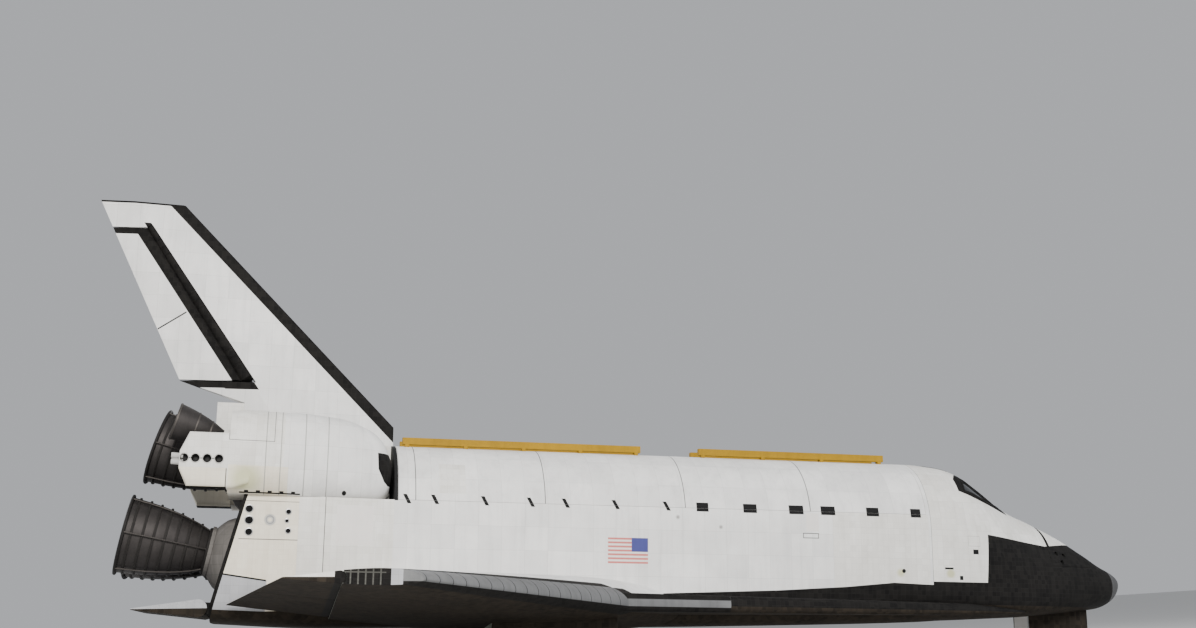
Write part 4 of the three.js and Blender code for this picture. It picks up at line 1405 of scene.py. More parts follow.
class Hull:
    """The fuselage's outer surface, smooth through its drawn sections."""

    # station, top, bottom, height of the widest line, half width, squareness above and below it
    TABLE = np.array(
        [
            (236.6, 341, 333, 336, 5, 2, 2),
            (242, 346, 319, 334, 17, 2, 2),
            (262, 357, 304, 332, 34, 2, 2.2),
            (300, 379, 296, 328, 52, 2, 2.6),
            (340, 402, 292, 324, 65, 2, 3),
            (378, 419, 288.5, 321, 75, 2.1, 3.4),
            (420, 436, 285, 320, 84, 2.2, 4),
            (440, 447, 284, 323, 88, 2.3, 4.2),
            (480, 474, 282, 336, 94, 2.5, 4.6),
            (500, 487, 281, 350, 96, 2.5, 5),
            (523, 495, 280, 364, 99, 2.4, 5.4),
            (545, 498, 279, 380, 101, 2.3, 5.8),
            (576, 500, 277, 396, 102, 2.1, 6.4),
            (700, 500, 273, 400, 103, 2, 7),
            (1000, 500, 266.5, 400, 103, 2, 7.5),
            (1307, 500, 263, 400, 103, 2, 8),
            (1400, 500, 262, 400, 112, 2, 8),
            (1540, 500, 267, 400, 122, 2, 8),
        ]
    )
    NOSE_X = 235.9
    ROUND_END = 400.0
    RIM_SHARE = 0.9999

    @classmethod
    def section(cls, x: float) -> tuple[float, ...]:
        """Top, bottom, middle, half width and the two powers at a station.

        Args:
            x: A station.

        Returns:
            The six values.
        """
        stations = cls.TABLE[:, 0]
        at = np.array([x], float)
        values = [float(smooth_curve(stations, cls.TABLE[:, k], at)[0]) for k in range(1, 7)]
        if x < cls.ROUND_END:
            root = np.sqrt(stations - cls.NOSE_X)
            reach = math.sqrt(max(x - cls.NOSE_X, 0))
            middle = values[2]
            for k in (0, 1, 3):
                base = 0 if k == 3 else cls.TABLE[:, 3]
                ratio = smooth_curve(stations, (cls.TABLE[:, k + 1] - base) / root, at)[0]
                values[k] = float(ratio * reach + (0 if k == 3 else middle))
        return tuple(values)

    @classmethod
    def ring(cls, x: float, angles: Array, inset: float = 0.0) -> Array:
        """Points round a station, at angles from starboard over the top.

        Args:
            x: A station.
            angles: The angles.
            inset: How far it lies inside the skin.

        Returns:
            The points.
        """
        top, bottom, middle, half, upper, lower = cls.section(x)
        across, up = np.cos(angles), np.sin(angles)
        power = np.where(up >= 0, 2 / upper, 2 / lower)
        edge = np.where(up >= 0, top - inset, bottom + inset)
        y = np.sign(across) * np.abs(across) ** power * (half - inset)
        z = middle + np.abs(up) ** power * (edge - middle)
        return np.stack([np.full_like(y, x), y, z], axis=1)

    @classmethod
    def angles(cls, count: int) -> Array:
        """Even angles round a section."""
        return np.linspace(0, 2 * math.pi, count, endpoint=False)

    @classmethod
    def body(cls, start: float, end: float, step: float = 8.0, count: int = 128) -> Form:
        """The closed hull between two stations.

        Args:
            start: Where it starts.
            end: Where it ends.
            step: About how far apart its rings stand.
            count: How many points there are.

        Returns:
            The form.
        """
        stations = np.linspace(start, end, max(2, round((end - start) / step) + 1))
        if start <= cls.NOSE_X + 1:
            stations = start + (end - start) * np.linspace(0.02, 1, 22) ** 2
        return loft([cls.ring(x, cls.angles(count)) for x in stations])

    @classmethod
    def top(cls, x: float, y: float) -> float:
        """The height of the upper surface over a point of the plan.

        Args:
            x: A station.
            y: A distance from the centreline.

        Returns:
            The height.
        """
        top, _, middle, half, upper, _ = cls.section(x)
        share = min(abs(y) / half, cls.RIM_SHARE)
        return middle + (1 - share**upper) ** (1 / upper) * (top - middle)

    @classmethod
    def side(cls, x: float, z: float) -> float:
        """The half width of the surface at a height of the side view.

        Args:
            x: A station.
            z: A height.

        Returns:
            The half width.
        """
        top, bottom, middle, half, upper, lower = cls.section(x)
        edge, power = (top, upper) if z >= middle else (bottom, lower)
        share = min((z - middle) / (edge - middle), cls.RIM_SHARE)
        return (1 - share**power) ** (1 / power) * half


NOSE_CAP_END = 262.0
CABIN_END = 576.0
BAY_START, BAY_END = 582.0, 1302.0
BAY_Z, BAY_RADIUS = 400.0, 90.0
SILL_Z = 420.0
DOOR_INNER = 94.0
AFT_START = 1307.0
# half the width of the ridge that the fin stands on
RIDGE_Y = 11.7
# gaps between fixed pieces that touch, and round those that turn
SEAT = 0.012
RUN = 0.4


def underside() -> Mask:
    """The black lower hull: its edge climbs toward the nose.

    Returns:
        The mask.
    """
    nose = [(262, 392), (340, 388), (383, 383.7), (486, 396)]
    rest = [
        (493, 323.7), (587, 325.9), (634, 327.5), (703, 321), (800, 315), (876, 312), (1300, 296),
        (1420, 292),
    ]
    return below_line([*nose, *rest])


@dataclass(frozen=True)
class Pane:
    """One window opening, as corners of its plan."""

    floor: float
    corners: tuple[tuple[float, float], ...]

    def rounded(self, radius: float = 3.0, steps: int = 4) -> list[tuple[float, float]]:
        """The outline with its corners rounded.

        Args:
            radius: How far the rounding reaches along each side.
            steps: Steps in each corner.

        Returns:
            The outline.
        """
        outline = []
        count = len(self.corners)
        for i, corner in enumerate(self.corners):
            here = np.array(corner, float)
            before, after = (np.array(self.corners[(i + k) % count], float) - here for k in (-1, 1))
            start = here + before / np.linalg.norm(before) * radius
            end = here + after / np.linalg.norm(after) * radius
            for t in np.linspace(0, 1, steps + 1):
                outline.append(tuple((1 - t) ** 2 * start + 2 * t * (1 - t) * here + t**2 * end))
        return outline

    def grown(self, by: float) -> Pane:
        """The pane with its corners pushed outward.

        Args:
            by: How far.

        Returns:
            The pane.
        """
        middle = np.mean(np.array(self.corners), axis=0)
        corners = []
        for corner in self.corners:
            away = np.array(corner) - middle
            corners.append(tuple(np.array(corner) + by * np.sign(away)))
        return Pane(self.floor, tuple(corners))


@dataclass
class ForwardFuselage:
    """The nose, the cabin with its windows and hatch, and the thrusters ahead of it."""

    panes: tuple[Pane, ...] = (
        Pane(430, ((441, 2), (439, 24), (473, 24), (478, 2))),
        Pane(430, ((440, 27), (444, 46), (482, 45), (474, 27))),
        Pane(430, ((448, 49), (467, 60), (508, 73), (501, 50), (486, 49))),
        Pane(470, ((514, 8), (514, 28), (546, 28), (546, 8))),
    )
    # first and last station, half width and height of the nose gear's well
    well: tuple[float, float, float, float] = (300, 392, 20, 330)
    # first and last station and foot of the thruster module
    module: tuple[float, float, float] = (303, 378, 356)
    # first and last station, floor and wall of the cabin's room
    cabin: tuple[float, float, float, float] = (430, 568, 335, 9)
    # station, height, radius and taper of the hatch
    hatch: tuple[float, float, float, float] = (524, 374, 20, 5.6)
    # small dark fittings on the side: station, height, half width and half height
    marks: tuple[tuple[float, ...], ...] = (
        (508.7, 371.3, 4.4, 3.2),
        (552, 348, 6.5, 1.3),
        (533.8, 335.5, 2.6, 2.8),
    )

    def skin(self) -> Material:
        """White upper tiles, black lower tiles and black surrounds of the windows.

        Returns:
            The material.
        """
        surround = polygon([(434, 0), (430, 60), (445, 110), (520, 110), (520, 62), (484, 0)], View.PLAN, 0.5)
        face = both(surround, outside(below_line([(430, 427), (474, 441), (520, 457)])))
        smear = both(disc(550, 341, 6, soft=4), where(Axis.Z, 335, 349, 3))
        ring = below_line([(262, 470), (285, 470), (292, 330)])
        return Finish(
            "cabin_tiles",
            WHITE_TILE,
            (
                (OLIVE, smear),
                (SMUDGE, frame_lines(501, 520, 379, 393)),
                (BLACK_SIDE, either(underside(), face, ring, self.streak())),
                (GROUND_LIT_BLACK_TILE, under(300.0)),
                (DARK_MARK, either(*(box(x - w, x + w, z - h, z + h) for x, z, w, h in self.marks))),
            ),
        ).material()

    @staticmethod
    def streak() -> Mask:
        """A dark joint that runs over the top of the nose, behind the thrusters."""
        return both(where(Axis.X, 373, 378.4, 0.8), where(Axis.Z, 380, 430))

    def cabin_hollow(self, slot: int) -> Form:
        """The room inside the cabin.

        Args:
            slot: The number of its finish.

        Returns:
            The form.
        """
        start, end, floor, wall = self.cabin
        rings = []
        for x in np.linspace(start, end, 24):
            ring = Hull.ring(x, Hull.angles(96), wall)
            ring[:, 2] = np.maximum(ring[:, 2], floor)
            rings.append(ring)
        return loft(rings, slot)

    def hatch_plug(self, grow: float) -> Form:
        """The tapering plug of the crew hatch, on the port side."""
        x, z, radius, taper = self.hatch
        return bar((x, -106, z), (x, -83, z), radius + grow, 64, radius - taper + grow)

    def make(self) -> None:
        """Builds every piece of the forward fuselage."""
        skin = self.skin()
        inside = Finish(
            "cabin_lining", Painted((0.52, 0.54, 0.53), (0.7, 0.7, 0.7), roughness=0.6)
        ).material()
        # The nose cap's dark grey is partly painted shade: it is darker than the bare carbon.
        carbon = Finish(
            "nose_carbon_and_shade", Painted((0.085, 0.085, 0.087), (0.18, 0.18, 0.18), roughness=0.6, stain=0.8)
        ).material()
        piece(
            "nose_cap_shell",
            Hull.body(Hull.NOSE_X + 0.1, NOSE_CAP_END - 0.1, count=128),
            [carbon],
            Fitting(slot="carbon", replaces=("nose_cap",)),
        )
        x0, x1, z = self.module
        start, end, half, top = self.well
        well = block((start, end), (-half, half), (200, top), INSIDE)
        module_room = block((x0, x1), (-FAR, FAR), (z, FAR))
        cuts = [(Cut.TAKE, self.cabin_hollow(INSIDE)), (Cut.TAKE, well), (Cut.TAKE, module_room)]
        for pane in self.panes:
            opening = prism(pane.rounded(), pane.floor, 520, Axis.Z, RIM)
            cuts += [(Cut.TAKE, opening.on(side)) for side in (STARBOARD, PORT)]
        cuts.append((Cut.TAKE, self.hatch_plug(0)))
        body = Hull.body(NOSE_CAP_END, CABIN_END - SEAT, 5, count=160)
        frame = Finish("window_frame", BLACK_SIDE).material()
        piece(
            "forward_fuselage_shell",
            body,
            [skin, inside, frame],
            Fitting(replaces=("forward_fuselage",)),
            cuts,
        )
        gap = 0.3
        module = Hull.body(x0 + gap, x1 - gap, 5, count=160)
        cuts = [(Cut.KEEP, block((x0, x1), (-FAR, FAR), (z + gap, FAR)))]
        for place, line in self.thruster_ports():
            cuts.append(
                (Cut.TAKE, bar(place, np.add(place, np.multiply(line, 8)), 3.6, 32, 2.2, slot=INSIDE))
            )
        dark = Finish(
            "thruster_throat", Painted((0.02, 0.02, 0.02), (0.15, 0.14, 0.13), roughness=0.5)
        ).material()
        piece(
            "forward_thruster_shell",
            module,
            [skin, dark],
            Fitting(replaces=("forward_thruster_module",)),
            cuts,
        )
        self.windows(frame)
        self.crew_hatch(skin, inside)

    def thruster_ports(self) -> list[tuple[Point, Point]]:
        """Mouths of the forward thrusters, and the way each goes in.

        Returns:
            Pairs of a mouth and a direction.
        """
        ports = []
        for side in (STARBOARD, PORT):
            for x, z in ((350, 372), (364, 374), (357, 362)):
                ports.append(((x, side * (Hull.side(x, z) + 1), z), (0, -side, -0.15)))
        for y in (-11, 0, 11):
            ports.append(((345, y, Hull.top(345, y) + 1), (0, 0, -1)))
        for y in (-14, 14):
            ports.append(((312, y, Hull.top(312, y) + 1.5), (0.75, 0, -0.65)))
        return ports

    @staticmethod
    def on_skin(outline: Sequence[Point], low: float, lift: float) -> list[Array]:
        """Points over the skin along an outline of the plan, none of them lower than a height.

        Args:
            outline: The outline.
            low: The lowest height.
            lift: How far over the skin.

        Returns:
            The points.
        """
        points, fine = [], []
        for a, b in zip(outline, [*outline[1:], outline[0]]):
            fine += [(1 - t) * np.array(a) + t * np.array(b) for t in np.linspace(0, 1, 8, endpoint=False)]
        for x, y in fine:
            y = min(y, Hull.side(x, low) - 0.05)
            ahead = Hull.top(x + 0.5, y) - Hull.top(x - 0.5, y)
            outward = (Hull.top(x, y + 0.02) - Hull.top(x, y - 0.02)) / 0.04
            normal = np.array([-ahead, -outward, 1.0])
            points.append(np.array([x, y, Hull.top(x, y)]) + lift * normal / np.linalg.norm(normal))
        return points

    def windows(self, frame: Material) -> None:
        """Glass behind the panes, and a raised black frame round each.

        Args:
            frame: The frames' finish.
        """
        clear = Painted((0.012, 0.014, 0.017), (0.03, 0.03, 0.03), roughness=0.06, wear=0, stain=0.1, grain=0)
        glass = Finish("window_glass", clear, transmission=0.2, coat=0.15, shine=0.35, bump=0.02).material()
        # name, first and last station, lowest height, half width, and the solid that it stands for
        sheets = (
            ("windshield_glass", 434, 508, 428, 100, "windshield"),
            ("overhead_glass", 511, 549, 470, 32, "overhead_windows"),
        )
        for name, x0, x1, floor, half, node in sheets:
            angles = np.linspace(0.05, math.pi - 0.05, 97)
            outer, inner = (
                np.array([Hull.ring(x, angles, inset) for x in np.linspace(x0, x1, 16)])
                for inset in (2.0, 3.6)
            )
            ring = np.concatenate([outer, inner[:, ::-1]], axis=1)
            keep = block((x0 + 0.1, x1 - 0.1), (-half, half), (floor, FAR))
            piece(name, loft(ring), [glass], Fitting(slot="glass", replaces=(node,)), [(Cut.KEEP, keep)])
        frames, border = Form(), 2.6
        for pane in self.panes:
            inner, outer = pane.rounded(), pane.grown(border).rounded(4.5)
            low = pane.floor - border
            edges = (
                (inner, pane.floor, -2.4), (inner, pane.floor, 0.4), (outer, low, 0.4), (outer, low, -1.2)
            )
            rows = [self.on_skin(*edge) for edge in edges]
            form = grid(np.array([*rows, rows[0]]), True)
            frames.join(form, form.mirrored())
        piece("window_frames", frames, [frame], Fitting(slot="tile_black"))

    def crew_hatch(self, skin: Material, inside: Material) -> None:
        """The round side hatch, with its window, seal and hinge.

        Args:
            skin: The outer finish.
            inside: The inner finish.
        """
        x, z, radius, _ = self.hatch
        body = Hull.body(480, 568, 4, count=160)
        window = bar((x, -110, z + 3), (x, -80, z + 3), 5, 48, slot=INSIDE)
        cuts = [(Cut.TAKE, self.cabin_hollow(INSIDE)), (Cut.KEEP, self.hatch_plug(-RUN)), (Cut.TAKE, window)]
        hinge_y, hinge_z = -101.0, z - radius - 1.5
        piece("crew_hatch_door", body, [skin, inside], Fitting("crew_hatch", replaces=("crew_hatch",)), cuts)
        metal = Finish(
            "hatch_metal", Painted((0.42, 0.43, 0.44), (0.7, 0.7, 0.7), roughness=0.35), metallic=0.8
        ).material()
        face = -Hull.side(x, z)
        fittings = Form().join(
            ring_form([(4.6, -0.4), (6.2, -0.4), (6.2, 0.8), (4.6, 0.8)], (x, face, z + 3), ACROSS, 48),
            bar((x - 3, hinge_y, hinge_z), (x + 3, hinge_y, hinge_z), 1.2),
            block((x - 3, x + 3), (hinge_y, -97.5), (hinge_z - 0.8, hinge_z + 4)),
            bar((x - 9, face - 0.6, z - 9), (x + 9, face - 0.6, z - 9), 0.5, 12),
        )
        piece("crew_hatch_fittings", fittings, [metal], Fitting("crew_hatch", "metal"))
        pane = lathe([(0, 0), (4.7, 0), (4.7, 0.6), (0, 0.6)], (x, face + 1, z + 3), ACROSS, 48)
        piece("crew_hatch_window", pane, [bpy.data.materials["window_glass"]], Fitting("crew_hatch", "glass"))
        lugs = Form()
        for way in (-1, 1):
            near, away = sorted((x + way * 3.1, x + way * 7))
            lugs.join(
                bar((near, hinge_y, hinge_z), (away, hinge_y, hinge_z), 1.2),
                block((near, away), (hinge_y, -96), (hinge_z - 1, hinge_z + 1)),
            )
        piece("crew_hatch_hinge", lugs, [metal], Fitting(slot="metal"))


@dataclass
class MidFuselage:
    """The payload bay, its doors and what is fixed to them."""

    seams: tuple[float, ...] = (750.8, 925.7, 1113.5, 1280.3)
    slanted_marks: tuple[float, ...] = (1290.2, 1255, 1191.2, 1131.7, 1085.8, 1019.4, 950.5)
    # station and half width
    square_marks: tuple[tuple[float, float], ...] = (
        (902.3, 8.2), (836.2, 9.4), (771.1, 10.2), (725.7, 10.2), (661, 9), (597.6, 7.4)
    )
    # first and last station, foot and head
    flag: tuple[float, float, float, float] = (977.4, 1031, 346, 379)

    def flag_layers(self) -> tuple[tuple[Painted, Mask], ...]:
        """Plain stripes with a plain corner field.

        Returns:
            Coats with their masks.
        """
        x0, _, z0, z1 = self.flag
        stripe = (z1 - z0) / 13
        whole = box(*self.flag, soft=0.2)
        corner = box(x0, x0 + 22, z1 - 7 * stripe, z1, soft=0.2)
        return (
            (WHITE_CLOTH, whole),
            (RED_CLOTH, both(whole, bands(Axis.Z, z0, 2 * stripe, stripe))),
            (BLUE_CLOTH, corner),
        )

    def side_skin(self) -> Material:
        """White blankets and tiles over the side, black tiles below.

        Returns:
            The material.
        """
        lines = either(
            where(Axis.X, 575.2, 576.4),
            # the band from station 1302.4 to 1307.5 over the sill is painted shadow on the bay's aft end,
            # between the doors and the aft fuselage
            both(where(Axis.X, 1302.4, 1307.5), where(Axis.Z, 419, 510)),
            frame_lines(740.6, 763, 384, 391, 0.9),
        )
        panels = box(740, 758, 393, 417.5)
        smudges = either(disc(936.7, 407.5, 2.2, soft=3), disc(877.8, 395.9, 2, soft=3))
        port = disc(619.4, 343.3, 2.8)
        return Finish(
            "side_blankets",
            WHITE_BLANKET,
            (
                (WHITE_TILE, box(580, 720, 300, 420)),
                (WHITE_CLOTH, panels),
                (OLIVE, both(disc(624, 341, 5, soft=5), where(Axis.Z, 334, 347, 3))),
                (SMUDGE, smudges),
                *self.flag_layers(),
                (DARK_MARK, either(lines, port)),
                (BLACK_SIDE, underside()),
                (GROUND_LIT_BLACK_TILE, under(296.0)),
            ),
        ).material()

    def door_skin(self) -> Material:
        """White blankets with the seams between the door panels.

        Returns:
            The material.
        """
        seams = either(*(where(Axis.X, x - 0.45, x + 0.45, 0.3) for x in self.seams))
        patch = box(1216, 1250, 430, 470)
        return Finish("door_blankets", WHITE_BLANKET, ((WHITE_TILE, patch), (DARK_MARK, seams))).material()

    def bay_void(self) -> list[tuple[Cut, Form]]:
        """What the bay takes out of the hull.

        Returns:
            The cuts.
        """
        return [
            (Cut.TAKE, bar((BAY_START, 0, BAY_Z), (BAY_END, 0, BAY_Z), BAY_RADIUS, 96, slot=INSIDE)),
            (Cut.TAKE, block((BAY_START, BAY_END), (-BAY_RADIUS, BAY_RADIUS), (BAY_Z, FAR), INSIDE)),
            (Cut.TAKE, block((BAY_START, BAY_END), (-FAR, FAR), (SILL_Z, FAR), INSIDE)),
        ]

    def make(self, nodes: dict[str, Object]) -> None:
        """Builds the bay, the doors and their fittings, and dresses the beams.

        Args:
            nodes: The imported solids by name.
        """
        enamel = Painted((0.42, 0.24, 0.008), (0.2, 0.12, 0.02), roughness=0.6, wear=0.6, stain=0.8)
        yellow = Finish("beam_enamel", enamel).material()
        for _, hand in SIDES:
            for beam in ("aft", "forward"):
                dress(nodes[f"door_beam_{beam}_{hand}"], yellow)
        skin = self.side_skin()
        quilt = Tiled(
            (0.74, 0.73, 0.68), (0.55, 0.54, 0.5), 24, 0.5, tone=0.3, dark=0.3, stain=0.2, roughness=0.85
        )
        lining = Finish("bay_lining", quilt, sheen=0.2).material()
        body = Hull.body(CABIN_END, AFT_START, 16, count=160)
        piece(
            "mid_fuselage_shell", body, [skin, lining], Fitting(replaces=("mid_fuselage",)), self.bay_void()
        )
        for side, hand in SIDES:
            self.door(side, hand)
        self.hinge_marks()
        self.bay_structure()

    def door(self, side: int, hand: str) -> None:
        """One door, with its radiator panels and ribs inside.

        Args:
            side: Starboard or port.
            hand: The side's name.
        """
        rings, stations, points = [], 46, 49
        gap, sill = 0.15, SILL_Z + 0.3
        for x in np.linspace(BAY_START + 0.5, BAY_END - 0.5, stations):
            top, _, middle, half, upper, _ = Hull.section(x)
            low = math.asin(min(1, ((sill - middle) / (top - middle)) ** (upper / 2)))
            high = math.acos((gap / half) ** (upper / 2))
            outer = Hull.ring(x, np.linspace(low, high, points))
            turn = np.linspace(math.acos(gap / DOOR_INNER), math.asin((sill - BAY_Z) / DOOR_INNER), points)
            y, z = DOOR_INNER * np.cos(turn), BAY_Z + DOOR_INNER * np.sin(turn)
            rings.append(np.concatenate([outer, np.stack([np.full(points, x), y, z], axis=1)]))
        form = loft(rings)
        around = 2 * points
        for i in range((stations - 1) * around):
            if points <= i % around < around - 1:
                form.slots[i] = INSIDE
        panels = Tiled(
            (0.62, 0.64, 0.66), (0.45, 0.47, 0.5), 45, 0.8, tone=0.2, dark=0.4, stain=0.15, roughness=0.3
        )
        inner_skin = Finish("door_lining", panels, metallic=0.5).material()
        fitting = Fitting(f"payload_door_{hand}", "blanket", (f"payload_door_{hand}",))
        piece(f"bay_door_{hand}", form.on(side), [self.door_skin(), inner_skin], fitting)
        ribs = Form()
        for x in (BAY_START + 3, *self.seams, BAY_END - 3):
            section = ((-1.2, 0.3), (1.2, 0.3), (1.2, -2), (-1.2, -2))
            ribs.join(self.arch(x, DOOR_INNER, section, np.linspace(0.24, math.pi / 2 - 0.01, 32)))
        bare = Painted((0.5, 0.52, 0.5), (0.7, 0.7, 0.7), roughness=0.4)
        metal = Finish("bay_metal", bare, metallic=0.7).material()
        piece(f"bay_door_ribs_{hand}", ribs.on(side), [metal], Fitting(f"payload_door_{hand}", "metal"))

    @staticmethod
    def arch(x: float, radius: float, section: Sequence[Point], turn: Array) -> Form:
        """A bar bent round the bay's axis, from the (aft, outward) corners of its section.

        Args:
            x: A station.
            radius: The bend's radius.
            section: The corners.
            turn: The angles it passes.

        Returns:
            The form.
        """
        rings = []
        for t in turn:
            places = [
                (x + dx, (radius + r) * math.cos(t), BAY_Z + (radius + r) * math.sin(t))
                for dx, r in section
            ]
            rings.append(places)
        return loft(rings)

    def hinge_marks(self) -> None:
        """Dark hinge covers along the sills: slanted aft and square forward, split at the door's edge."""
        black = Painted((0.003, 0.003, 0.0034), (0.03, 0.03, 0.03), roughness=0.75, stain=0.2)
        dark = Finish("hinge_cover", black).material()
        marks = [(x, 2.4, 0.5) for x in self.slanted_marks] + [
            (x, half, 0.0) for x, half in self.square_marks
        ]
        for place, low, high in (("sill", 415.8, 419.9), ("door", 420.3, 427.6)):
            for side, hand in SIDES:
                form = Form()
                for x, half, lean in marks:
                    form.join(self.hinge_mark(x, half, lean, low, high))
                body = "airframe" if place == "sill" else f"payload_door_{hand}"
                piece(f"hinge_covers_{place}_{hand}", form.on(side), [dark], Fitting(body, "metal"))

    @staticmethod
    def hinge_mark(x: float, half: float, lean: float, low: float, high: float) -> Form:
        """One cover, bent to the skin.

        Args:
            x: Its station at the sill.
            half: Half its width.
            lean: How far it runs aft for each inch it rises.
            low: Its foot.
            high: Its head.

        Returns:
            The form.
        """
        sunk, lift = 0.6, 0.35
        rings = []
        for z in (low, high):
            ends = [x + lean * (z - SILL_Z) + dx for dx in (-half, half)]
            (a, y_a), (b, y_b) = ((at, Hull.side(at, z)) for at in ends)
            rings.append([(a, y_a - sunk, z), (b, y_b - sunk, z), (b, y_b + lift, z), (a, y_a + lift, z)])
        return loft(rings)

    def bay_structure(self) -> None:
        """Frames, longerons and the keel inside the bay."""
        metal = bpy.data.materials["bay_metal"]
        count, inset = 12, 30
        section = ((-1.1, 0.5), (1.1, 0.5), (1.1, -2.2), (-1.1, -2.2))
        turn = np.linspace(math.pi + 0.05, 2 * math.pi - 0.05, 48)
        frame = self.arch(BAY_START + inset, BAY_RADIUS, section, turn)
        step = ((BAY_END - BAY_START - 2 * inset) / (count - 1), 0, 0)
        Repeat("bay_frames", frame, metal, count, step=step).make(Fitting(slot="metal"))
        length = (BAY_START + 0.2, BAY_END - 0.2)
        rails = Form()
        for side in (STARBOARD, PORT):
            rails.join(block(length, (89.0, 99.5), (414.5, 419.5)).on(side))
        rails.join(block(length, (-4, 4), (309.5, 314)))
        piece("bay_longerons", rails, [metal], Fitting(slot="metal"))


# Wings.


@dataclass
class Wing:
    """One wing with its carbon edge and two elevons, laid out to starboard."""

    root_x: float = 836.0
    root_trail_x: float = 1525.2
    trail_slope: float = 0.17733
    root_z: float = 276.4
    dihedral: float = 0.0612
    incidence: float = 0.0087
    kink_y: float = 188.0
    glove_slope: float = 6.314
    tip_y: float = 468.0
    inner_y: float = 84.0
    thickness: float = 0.118
    upper: float = 0.64
    hinge_x: float = 1387.0
    edge_depth: float = 15.0
    edge_start: float = 886.0
    edge_top: float = 7.0
    elevon_in: float = 124.0
    elevon_split: float = 312.0
    elevon_out: float = 466.5
    up: float = 35.0
    down: float = 20.0
    # first and last station, inner and outer side and height of the main gear's well
    well: tuple[float, float, float, float, float] = (1034, 1190, 107, 166, 313)

    def trail_x(self, y: Array | float) -> Array | float:
        """The trailing edge's station."""
        return self.root_trail_x - self.trail_slope * y

    def chord_z(self, x: Array | float, y: Array | float) -> Array | float:
        """The height of the chord plane."""
        return self.root_z + self.dihedral * y + self.incidence * (self.trail_x(y) - x)

    def depth(self, x: Array | float, y: float) -> Array | float:
        """The wing's thickness.

        Args:
            x: Stations.
            y: A distance from the centreline.

        Returns:
            The thickness there.
        """
        chord = self.trail_x(y) - self.root_x - y
        s = np.clip((x - self.root_x - y) / chord, 0, 1)
        share = 10 * (
            0.2969 * np.sqrt(s) - 0.126 * s - 0.3516 * s**2 + 0.2843 * s**3 - 0.1036 * s**4
        ) + 0.02 * s
        return self.thickness * chord * share

    def ring(self, y: float, stations: Array, depth: Array) -> Array:
        """A closed section from the trailing edge over the top and back below.

        Args:
            y: A distance from the centreline.
            stations: Stations from the front.
            depth: The thickness at each.

        Returns:
            The points.
        """
        z = self.chord_z(stations, y)
        over = np.stack([stations, np.full_like(stations, y), z + self.upper * depth], axis=1)
        below = np.stack([stations, np.full_like(stations, y), z - (1 - self.upper) * depth], axis=1)
        return np.concatenate([over[::-1], below[1:]])

    def blank(self) -> Form:
        """The main wing before it is cut.

        Returns:
            The form.
        """
        shares = (1 - np.cos(np.linspace(0, math.pi, 56))) / 2
        rings = []
        for y in np.linspace(self.inner_y, self.tip_y, 14):
            stations = self.root_x + y + shares * (self.trail_x(y) - self.root_x - y)
            rings.append(self.ring(y, stations, self.depth(stations, y)))
        return loft(rings)

    def glove(self) -> Form:
        """The long root extension ahead of the wing.

        Returns:
            The form.
        """
        steps = 40 * (1 - np.cos(np.linspace(0, math.pi / 2, 14)))
        rings = []
        for y, x, depth in self.glove_sections():
            stations = np.array([*(x + steps), 1110.0])
            nose = np.sqrt(np.clip(1 - (1 - np.minimum(1, (stations - x) / 40)) ** 2, 0, 1))
            rings.append(self.ring(y, stations, depth * nose))
        return loft(rings)

    def glove_sections(self) -> list[tuple[float, float, float]]:
        """Span, leading station and depth of the root extension.

        Returns:
            The three numbers of each section.
        """
        known = ((80, 430, 10), (105, 500, 16), (self.kink_y, self.root_x + self.kink_y, 23))
        ys = [80, 92, 105, 120, 136, 153, 170, self.kink_y]
        return [
            (y, *(float(np.interp(y, [k[0] for k in known], [k[i] for k in known])) for i in (1, 2)))
            for y in ys
        ]

    def edge_strip(self, grow: float) -> Form:
        """The plan of the carbon edge, as a slab.

        Args:
            grow: How much larger it is made.

        Returns:
            The form.
        """
        kink = (self.root_x + self.kink_y, self.kink_y)
        start = (self.edge_start - grow, kink[1] - (kink[0] - self.edge_start) / self.glove_slope)
        length, depth = math.hypot(self.glove_slope, 1), self.edge_depth + grow
        glove_in = (depth / length, -depth * self.glove_slope / length)
        wing_in = (depth * math.sqrt(0.5), -depth * math.sqrt(0.5))
        t = ((wing_in[0] - glove_in[0]) - (wing_in[1] - glove_in[1])) / (self.glove_slope - 1)
        corner = (kink[0] + glove_in[0] + t * self.glove_slope, kink[1] + glove_in[1] + t)
        tip = self.tip_y + 10
        outline = [
            (start[0], start[1] + 40),
            (start[0], start[1] + glove_in[1] - glove_in[0] / self.glove_slope),
            corner,
            (self.root_x + tip + 2 * wing_in[0], tip),
            (self.root_x + tip - 60, tip),
            (kink[0] - 40, kink[1] + 20),
        ]
        return prism(outline, 200, 400, Axis.Z)

    def hinge(self, y: float) -> tuple[float, float, float]:
        """The hinge line's height, the elevon nose's radius there, and the line's tilt.

        Args:
            y: A distance from the centreline.

        Returns:
            The height, the radius and the tilt.
        """
        ends = []
        for at in (self.elevon_in, self.elevon_out):
            depth = float(self.depth(np.array(self.hinge_x), at))
            ends.append((self.chord_z(self.hinge_x, at) + (self.upper - 0.5) * depth, depth / 2 - 0.1))
        share = (y - self.elevon_in) / (self.elevon_out - self.elevon_in)
        tilt = math.atan2(ends[1][0] - ends[0][0], self.elevon_out - self.elevon_in)
        return (
            ends[0][0] + share * (ends[1][0] - ends[0][0]),
            ends[0][1] + share * (ends[1][1] - ends[0][1]),
            tilt,
        )

    def beside_hinge(self, y: float, outline: Sequence[Point]) -> Array:
        """An outline of (aft, up) pairs in the plane square to the hinge line.

        Args:
            y: A distance from the centreline.
            outline: Points round it.

        Returns:
            The points.
        """
        z, _, tilt = self.hinge(y)
        return np.array(
            [(self.hinge_x + u, y - w * math.sin(tilt), z + w * math.cos(tilt)) for u, w in outline]
        )

